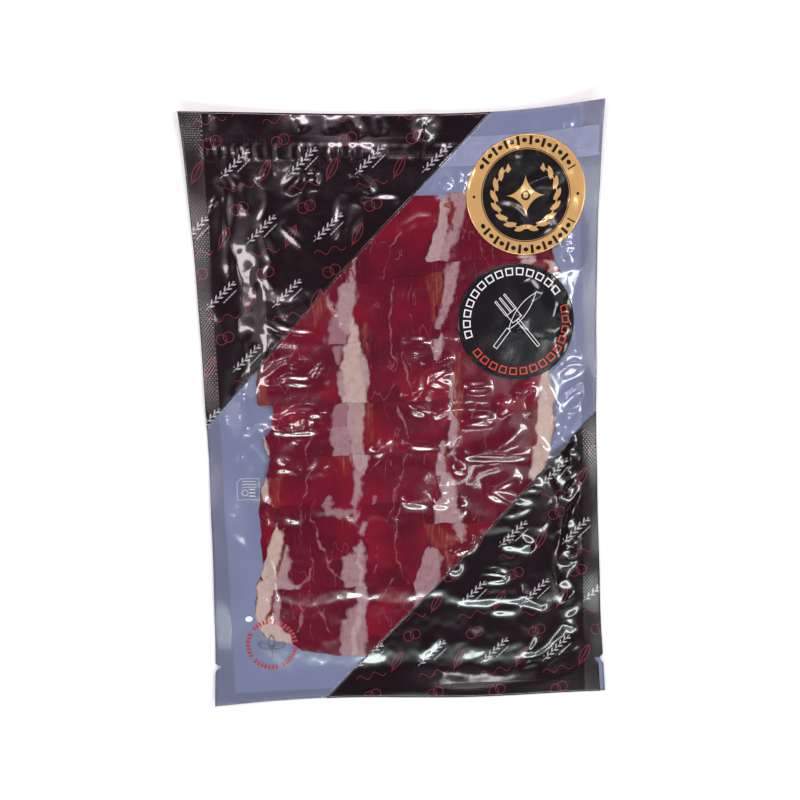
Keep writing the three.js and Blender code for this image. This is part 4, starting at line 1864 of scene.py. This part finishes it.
RIGHT_COLUMN = (
    Slice(
        92.0, 65.5, left=((66, 12), (74, 15), (84, 18), (94, 20)), right=((66, 66), (93, 63)),
        fat=(
            Fat(0.6, ((21, 95, 1.8), (20, 86, 2.2), (19, 78, 2.6), (17, 74, 3.6), (15, 64, 3.4))),
            Fat(0.3, ((29, 95, 2.4), (27, 86, 2), (24, 77, 2.2), (20, 71, 2.7), (19, 64, 2.7))),
            Fat(0.35, ((25, 95, 2.2), (27, 91, 2.4))), Fat(0.95, ((53, 66, 1.6), (58, 66, 1.4))),
        ),
        dried=(((23, 91, 1.3), (24, 89, 1.2), (24, 84, 0.9), (24, 80, 0.6)),),
        veins=(((36, 74, 0.3), (36, 68, 0.3), (38, 65, 0.3)), ((42, 72, 0.3), (41, 67, 0.3), (41, 64, 0.2))),
    ),
    Slice(
        66.0, 36.4,
        left=((36, 15), (46, 16), (50, 19), (66, 20)), right=((36, 64), (56, 68), (60, 69), (66, 67)),
        fat=(
            Fat(0.35, ((25, 66, 2), (23, 60, 2.7), (22, 54, 2.7), (21, 49, 2.4), (19, 44, 1.6))),
            Fat(0.3, ((19, 44, 1.6), (17, 38, 1.7), (16, 33, 2))), Fat(0.9, ((54, 64, 1.6), (58, 65, 1.4))),
            Fat(0.9, ((63, 64, 0.9), (67, 62, 1.9), (66, 58, 2.4), (64, 56, 1.4))),
        ),
        dried=(((59, 63, 1), (63, 62, 1.2)), ((17, 52, 1.6), (18, 46, 1))),
    ),
    Slice(
        36.8, 6.4,
        left=((6, 20), (16, 21), (23, 15), (24, 14), (36, 15)), right=((6, 66), (16, 64), (35, 62)),
        fat=(
            Fat(0.35, ((16, 38, 2), (16, 31, 2.2), (16, 26, 1.8), (15, 23, 0.8))),
            Fat(0.35, ((23, 17, 0.6), (22, 10, 1.8), (21, 4, 1.4))),
            Fat(0.95, ((62, 30, 1.2), (62, 17, 2.2), (62, 9, 3), (63, 2, 3.4))),
        ),
        dried=(((25, 26, 1), (24, 10, 1.8), (24, 2, 2.2)), ((59, 20, 0.3), (58, 5, 0.8))),
        veins=(((34, 8, 0.3), (33, 4, 0.3)), ((40, 10, 0.2), (38, 5, 0.3))),
    ),
    Slice(
        7.0, -15.3,
        left=((-15, 19), (-11, 19), (-7, 20), (2, 20), (6, 20)), right=((-15, 65), (-8, 66), (6, 66)),
        fat=(
            Fat(0.35, ((22, 7, 1), (21, 2, 0.8), (22, -2, 1.6), (22, -7, 2.1), (21, -16, 1.4))),
            Fat(0.95, ((63, 8, 3.4), (62, -1, 3.6), (62, -7, 3.9), (61, -17, 4))),
        ),
        dried=(((25, 8, 2.2), (24, 1, 2.4), (24, -2, 1)), ((58, 6, 0.9), (57, -14, 0.6))),
        veins=(
            ((33, 5, 0.3), (32, 2, 0.3), (30, -2, 0.2)), ((38, 5, 0.2), (38, 2, 0.3), (37, -2, 0.3)),
            ((36, -6, 0.3), (36, -11, 0.3), (36, -16, 0.2)),
        ),
    ),
    Slice(
        -14.8, -48.6, left=((-49, 9), (-46, 11), (-40, 13), (-36, 16), (-29, 14), (-26, 14), (-15, 15)),
        right=((-49, 58), (-28, 61), (-15, 65)),
        fat=(
            Fat(0.35, ((17, -14, 1.8), (16, -19, 1.9), (16, -25, 2.2))),
            Fat(0.5, ((18, -27, 2.2), (19, -31, 3.5), (20, -36, 3.8))),
            Fat(0.4, ((18, -40, 4.9), (18, -45, 6.2), (21, -52, 5.2))),
            Fat(0.9, ((61, -14, 4), (60, -20, 3.8), (57, -27, 2.8))),
        ),
        dried=(((23, -26, 0.4), (24, -33, 0.9)), ((19, -18, 1.2), (19, -25, 1))),
        veins=(((39, -19, 0.3), (40, -25, 0.3)), ((32, -43, 0.3), (30, -47, 0.3))),
    ),
    Slice(
        -46.8, -80.0, left=((-80, 3), (-72, 4), (-62, 8), (-58, 9), (-48, 7)), right=((-80, 57), (-49, 58)),
        fat=(
            Fat(0.25, ((11, -61, 2.8), (12, -65, 4.2), (9, -70, 5.8), (8, -78, 5.8), (7, -83, 5.4))),
            Fat(0.4, ((24, -50, 3), (24, -56, 1.4))),
        ),
        dried=(
            ((9, -48, 2.4), (13, -52, 3.8), (15, -57, 3.8), (22, -56, 2.2)), ((18, -62, 1.8), (19, -68, 1.4)),
        ),
    ),
    Slice(
        -80.0, -110.0, left=((-110, 1), (-80, 2)), right=((-110, 55), (-80, 57)),
        fat=(Fat(0.3, ((8, -80, 4.4), (7, -110, 4))),),
    ),
)


@dataclass(frozen=True)
class HamStack:
    """Two columns of overlapping slices, each slice lying on the one below it."""

    form: PouchForm
    clearance: float = 0.16  # Gap between the slices and the film
    thickness: float = 0.45
    buried: float = 42.0  # How far each slice runs on under those above it
    descent: float = 18.0  # Length over which a buried slice sinks by one step
    overlap: float = 4.0  # Length past the slice above's end that is still meshed closely
    top_margin: float = 12.0  # Distance from the stack's top at which buried slices stop
    spacing: float = 0.5  # Mesh spacing of the part that shows
    hidden_spacing: float = 3.5  # Mesh spacing of the buried part
    corner: float = 1.6  # Radius of a slice's lower corners
    tuck: float = 3.5  # Distance by which a buried slice draws in at its sides
    floor: float = 0.2  # Height of the lowest slice's underside over the back film's
    edge_sink: float = 2.0  # How far the slices sink under the film's slope
    edge_share: float = 0.3  # Least share of its thickness that a slice keeps there
    dip: float = 1.1  # Thicknesses by which a side sinks that passes under the next column
    dip_range: Pair = (-5.5, -2.5)  # Where it sinks, seen from that side
    least_height: float = 0.1  # Least height of a slice over the lowest one's underside
    least_step: float = 0.05  # How much that grows with the slice's climb, so that no two slices coincide
    seed: int = 17

    def build(self) -> list[Piece]:
        """Makes every slice.

        Returns:
            The slices, from the top of the left column on.
        """
        material = HamFinish().material()
        draw = np.random.default_rng(self.seed)
        pieces = []
        for side, column in (("left", LEFT_COLUMN), ("right", RIGHT_COLUMN)):
            for number, cut in enumerate(column, 1):
                sheet = self.slice_sheet(f"slice_{side}_{number}", cut, draw, side == "left")
                pieces.append(sheet.build(self.form, material, "sliced_ham"))
        return pieces

    def rows(self, cut: Slice) -> Array:
        """Distances up from the exposed end: close over what shows, wide where it is buried.

        Args:
            cut: The slice.

        Returns:
            The distances.
        """
        shown = cut.upper - cut.end + self.overlap
        near = np.linspace(0.0, shown, round(shown / self.spacing) + 1)
        hidden = min(self.buried, self.form.ham_top - self.top_margin - cut.upper)
        if hidden < 1.5 * self.overlap:
            return near
        far = np.linspace(shown, shown + hidden, max(round(hidden / self.hidden_spacing), 1) + 1)
        return np.concatenate([near, far[1:]])

    def slice_sheet(self, name: str, cut: Slice, draw: np.random.Generator, tucked: bool) -> Sheet:
        """Works out one slice: its uneven outline, its slope, and its fat and grain.

        Args:
            name: The piece's name.
            cut: The slice.
            draw: Source of random numbers.
            tucked: Whether its right side passes under the next column.

        Returns:
            The slice as a closed layer.
        """
        phase = draw.uniform(0.0, 2.0 * math.pi, 6)
        rows = self.rows(cut)
        width = cut.right[0][1] - cut.left[0][1]
        columns = round(width / self.spacing) + 1
        share, up = np.meshgrid(np.linspace(0.0, 1.0, columns), rows)
        y = cut.end + up
        left, right = (np.interp(y, *np.asarray(side, float).T) for side in (cut.left, cut.right))
        tuck = self.tuck * smoothstep(y - cut.upper, 0.0, 8.0)
        left = left + 0.35 * np.sin(y / 2.3 + phase[0]) + 0.25 * np.sin(y / 1.1 + phase[1]) + tuck
        right = right + 0.4 * np.sin(y / 2.7 + phase[2]) + 0.3 * np.sin(y / 1.2 + phase[3]) - tuck
        x = left + (right - left) * share
        short = np.maximum(self.corner - np.minimum(x - left, right - x), 0.0)
        lift = self.corner - np.sqrt(np.maximum(self.corner**2 - short**2, 0.0))
        ragged = 0.3 + 0.3 * np.sin(x / 3.1 + phase[4]) + 0.2 * np.sin(x / 1.3 + phase[5])
        rise = np.interp(x, *np.asarray(cut.rise, float).T)
        y = y + (lift + ragged + rise) * (1.0 - smoothstep(up, 0.0, 12.0))
        top, bottom = self.heights(cut, x, y, right if tucked else None)
        values = self.marbling(cut, x, y)
        values["shade"] = np.full(x.shape, draw.uniform(0.0, 1.0))
        angle, move = draw.normal(0.0, 0.06), draw.uniform(0.0, 400.0, 3)
        across = x * math.cos(angle) - y * math.sin(angle)
        along = x * math.sin(angle) + y * math.cos(angle)
        values["grain"] = np.stack([across, along, 0.0 * x], axis=-1) + move
        return Sheet(name, x, y, top, bottom, [grid_quads(len(rows), columns)], values)

    def heights(self, cut: Slice, x: Array, y: Array, right: Array | None) -> tuple[Array, Array]:
        """Upper and lower side: the slice climbs one step to its own end and sinks where it is buried.

        Args:
            cut: The slice.
            x: Places across.
            y: Places along.
            right: The right side at each point of a slice that passes under the next column there.

        Returns:
            The heights of both sides.
        """
        form = self.form
        climb = np.clip((cut.upper - y) / (cut.upper - cut.end), 0.0, 1.0)
        climb -= np.maximum(y - cut.upper, 0.0) / self.descent
        cover, floor = form.cover(x, y), form.back(x, y) + self.floor
        top = form.back(x, y) + cover * (form.stack(y) + form.slice_step * climb) - self.clearance
        top = top - self.edge_sink * cover * (1.0 - cover)
        if right is not None:
            top = top - self.dip * self.thickness * cover * smoothstep(x - right, *self.dip_range)
        top = np.maximum(top, floor + self.least_height + self.least_step * np.clip(climb, -1.0, 1.0))
        thick = self.thickness * np.maximum(cover, self.edge_share)
        bottom = np.clip(top - thick, floor, top - self.least_height)
        return top, bottom

    @staticmethod
    def marbling(cut: Slice, x: Array, y: Array) -> dict[str, Array]:
        """Depths inside the fat, the dried parts and the veins, and the tone of the fat.

        Args:
            cut: The slice.
            x: Places across.
            y: Places along.

        Returns:
            The values by name.
        """
        depth, tone = np.full(x.shape, OUTSIDE), np.zeros(x.shape)
        x, y = (place + 0.7 * Ripples(seed, 3.0, 14.0).height(x, y) for seed, place in ((3, x), (4, y)))
        for fat in cut.fat:
            inside = streak_depth(x, y, fat.streak)
            beyond = np.maximum(depth, 0.0) + 0.1 if fat.tone < 0.6 else 0.0
            shift = smoothstep(inside - beyond, -0.5, 0.5)
            tone += (fat.tone - tone) * np.where(depth > -1.0, shift, 1.0 * (inside > depth))
            depth = np.maximum(depth, inside)
        values = {"fat": depth, "tone": tone}
        for key, streaks in (("dried", cut.dried), ("vein", cut.veins)):
            depths = [np.full(x.shape, OUTSIDE), *(streak_depth(x, y, streak) for streak in streaks)]
            values[key] = np.maximum.reduce(depths)
        return values


@dataclass(frozen=True)
class RoundLabel:
    """A round self-adhesive label that follows the film it is stuck on."""

    name: str
    node: str
    relief: FilmRelief
    centre: Pair
    radius: float = 25.0
    stretch: float = 1.0
    rings: int = 56
    spokes: int = 200
    glue: float = 0.06
    thickness: float = 0.12

    def build(self, material: Material) -> Piece:
        """Makes the label from rings of points round its middle, which close on themselves.

        Args:
            material: Its finish.

        Returns:
            The piece.
        """
        ring, spoke = np.mgrid[1 : self.rings + 1, 0 : self.spokes]
        radius = np.concatenate([[0.0], (self.radius * ring / self.rings).ravel()])
        angle = np.concatenate([[0.0], (2.0 * math.pi * spoke / self.spokes).ravel()])
        x = self.centre[0] + radius * np.cos(angle)
        y = self.centre[1] + self.stretch * radius * np.sin(angle)
        number = 1 + np.arange(self.rings * self.spokes).reshape(self.rings, self.spokes)
        following = np.roll(number, -1, axis=1)
        quads = np.stack([number[:-1], number[1:], following[1:], following[:-1]], axis=-1).reshape(-1, 4)
        middle = np.stack([np.zeros(self.spokes, int), number[0], following[0]], axis=-1)
        bottom = self.relief.height(x, y) + self.glue
        sheet = Sheet(self.name, x, y, bottom + self.thickness, bottom, [quads, middle])
        piece = sheet.build(self.relief.form, material, self.node)
        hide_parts(self.node)
        return piece

    def printed_centre(self) -> Pair:
        """The label's middle after the pouch's end is bent."""
        x, y = (np.array([c]) for c in self.centre)
        return self.centre[0], float(self.centre[1] + self.relief.form.end_shift(x, y)[0])


@dataclass(frozen=True)
class Lamp:
    """A rectangular soft light over the pouch: place in metres, size, brightness, colour and turn.

    A lamp with a turn hangs level, turned about the upright by that angle in degrees.
    """

    name: str
    place: Triple
    size: Pair
    radiance: float
    colour: Colour = (1.0, 1.0, 1.0)
    turn: float | None = None

    def build(self) -> None:
        """Makes the light: its power is brightness * pi * area."""
        data = bpy.data.lights.new(self.name, "AREA")
        data.shape = "RECTANGLE"
        data.size, data.size_y = self.size
        data.energy = self.radiance * math.pi * self.size[0] * self.size[1]
        data.color = self.colour
        lamp = bpy.data.objects.new(self.name, data)
        lamp.location = self.place
        if self.turn is None:
            lamp.rotation_euler = (-lamp.location).to_track_quat("-Z", "Y").to_euler()
        else:
            lamp.rotation_euler = (0.0, 0.0, math.radians(self.turn))
        bpy.context.scene.collection.objects.link(lamp)


@dataclass(frozen=True)
class Studio:
    """Pale floor, soft lights and the camera that looks down on the pouch."""

    camera_place: Triple = (-0.008, 0.0558, 0.3866)
    camera_turn: Triple = (-7.22, -1.35, -1.86)
    focal_pixels: float = 900.0
    picture_pixels: float = 800.0
    world: Colour = (0.04, 0.038, 0.045)
    floor_colour: Colour = (0.88, 0.88, 0.88)
    lamps: tuple[Lamp, ...] = (
        Lamp("lamp_near", (0.04, -0.96, 1.1), (0.62, 0.16), 17.0, (0.86, 1.0, 0.97)),
        Lamp("lamp_far", (0.02, 0.69, 1.1), (0.56, 0.14), 19.0, (1.0, 0.84, 0.92)),
        Lamp("lamp_left", (-0.61, 0.02, 1.1), (0.14, 0.64), 12.0, (1.0, 0.9, 0.94)),
        Lamp("lamp_right", (0.68, -0.1, 1.1), (0.14, 0.78), 14.0, (0.95, 1.0, 0.97)),
        Lamp("corner_near_left", (-0.47, -0.78, 1.1), (0.36, 0.13), 14.0, (0.9, 1.0, 0.95), -45.0),
        Lamp("corner_near_right", (0.55, -0.78, 1.1), (0.36, 0.13), 14.0, (0.95, 1.0, 1.0), 45.0),
        Lamp("corner_far_left", (-0.48, 0.5, 1.1), (0.36, 0.12), 15.0, (1.0, 0.9, 0.95), 45.0),
        Lamp("corner_far_right", (0.54, 0.5, 1.1), (0.36, 0.12), 15.0, (1.0, 0.88, 0.92), -45.0),
        Lamp("glow_near", (0.1, -1.26, 0.95), (1.0, 0.34), 1.3, (0.95, 1.0, 1.0)),
        Lamp("glow_far", (0.0, 0.94, 1.05), (1.0, 0.28), 1.2, (1.0, 0.95, 0.97)),
        Lamp("glow_right", (0.62, -0.1, 1.2), (0.7, 0.9), 0.32, (1.0, 0.97, 1.0)),
        Lamp("wall_left", (-1.5, 0.2, 0.7), (0.8, 1.6), 0.62),
        Lamp("wall_right", (1.5, 0.2, 0.7), (0.8, 1.6), 0.5),
        Lamp("spark_right", (0.16, -0.24, 1.15), (0.07, 0.05), 12.0),
        Lamp("spark_left", (-0.19, 0.03, 1.15), (0.05, 0.04), 16.0, (1.0, 0.9, 0.95)),
    )

    def build(self) -> None:
        """Makes the floor, the world, the lights and the camera."""
        bpy.context.scene.view_settings.view_transform = "Standard"
        self.build_floor()
        self.build_world()
        for lamp in self.lamps:
            lamp.build()
        self.build_camera()

    def build_floor(self) -> None:
        """Makes the plain pale floor just under the pouch."""
        half, low = 2.0, -0.0002
        corners = [(-half, -half, low), (half, -half, low), (half, half, low), (-half, half, low)]
        mesh = bpy.data.meshes.new("floor")
        mesh.from_pydata(corners, [], [(0, 1, 2, 3)])
        floor = bpy.data.objects.new("floor", mesh)
        bpy.context.scene.collection.objects.link(floor)
        bench = Workbench("floor_paint")
        floor.data.materials.append(bench.opaque(self.floor_colour, 0.7))
        floor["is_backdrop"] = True

    def build_world(self) -> None:
        """Makes the even dim surroundings."""
        world = bpy.data.worlds.new("room")
        world.use_nodes = True
        world.node_tree.nodes["Background"].inputs["Color"].default_value = (*self.world, 1.0)
        bpy.context.scene.world = world

    def build_camera(self) -> None:
        """Makes the camera, whose focal length in pixels fixes its angle of view."""
        data = bpy.data.cameras.new("camera")
        data.sensor_width = 36.0
        data.lens = data.sensor_width * self.focal_pixels / self.picture_pixels
        camera = bpy.data.objects.new("camera", data)
        camera.location = self.camera_place
        camera.rotation_euler = tuple(math.radians(angle) for angle in self.camera_turn)
        bpy.context.scene.collection.objects.link(camera)
        bpy.context.scene.camera = camera


def build_pouch() -> None:
    """Builds the pouch's layers from the back film up, and lets them stand for its solid."""
    form = PouchForm()
    relief = FilmRelief(form)
    pieces = [BackFilm(form).build(), *HamStack(form).build(), ZipStrip(form).build()]
    pieces += FrontFilm(relief).build()
    for piece in pieces:
        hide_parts("pouch")
    gold_centre, black_centre = relief.label_centres
    gold_centre = (gold_centre[0], gold_centre[1] + 0.9)
    gold = RoundLabel("gold_label_print", "gold_label", relief, gold_centre, stretch=1.032)
    gold.build(GoldLabelFinish(gold.printed_centre(), gold.stretch).material())
    black = RoundLabel("black_label_print", "black_label", relief, black_centre)
    black.build(BlackLabelFinish(black.printed_centre()).material())


def write_sizes() -> None:
    boxes = [[list(map(float, corner)) for corner in box] for box in (CAD_BOX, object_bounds())]


def main() -> None:
    """Builds the studio and the pouch."""
    logging.basicConfig(level=logging.INFO, format="%(name)s %(message)s")
    Studio().build()
    build_pouch()
    write_sizes()


if __name__ == "__main__":
    main()
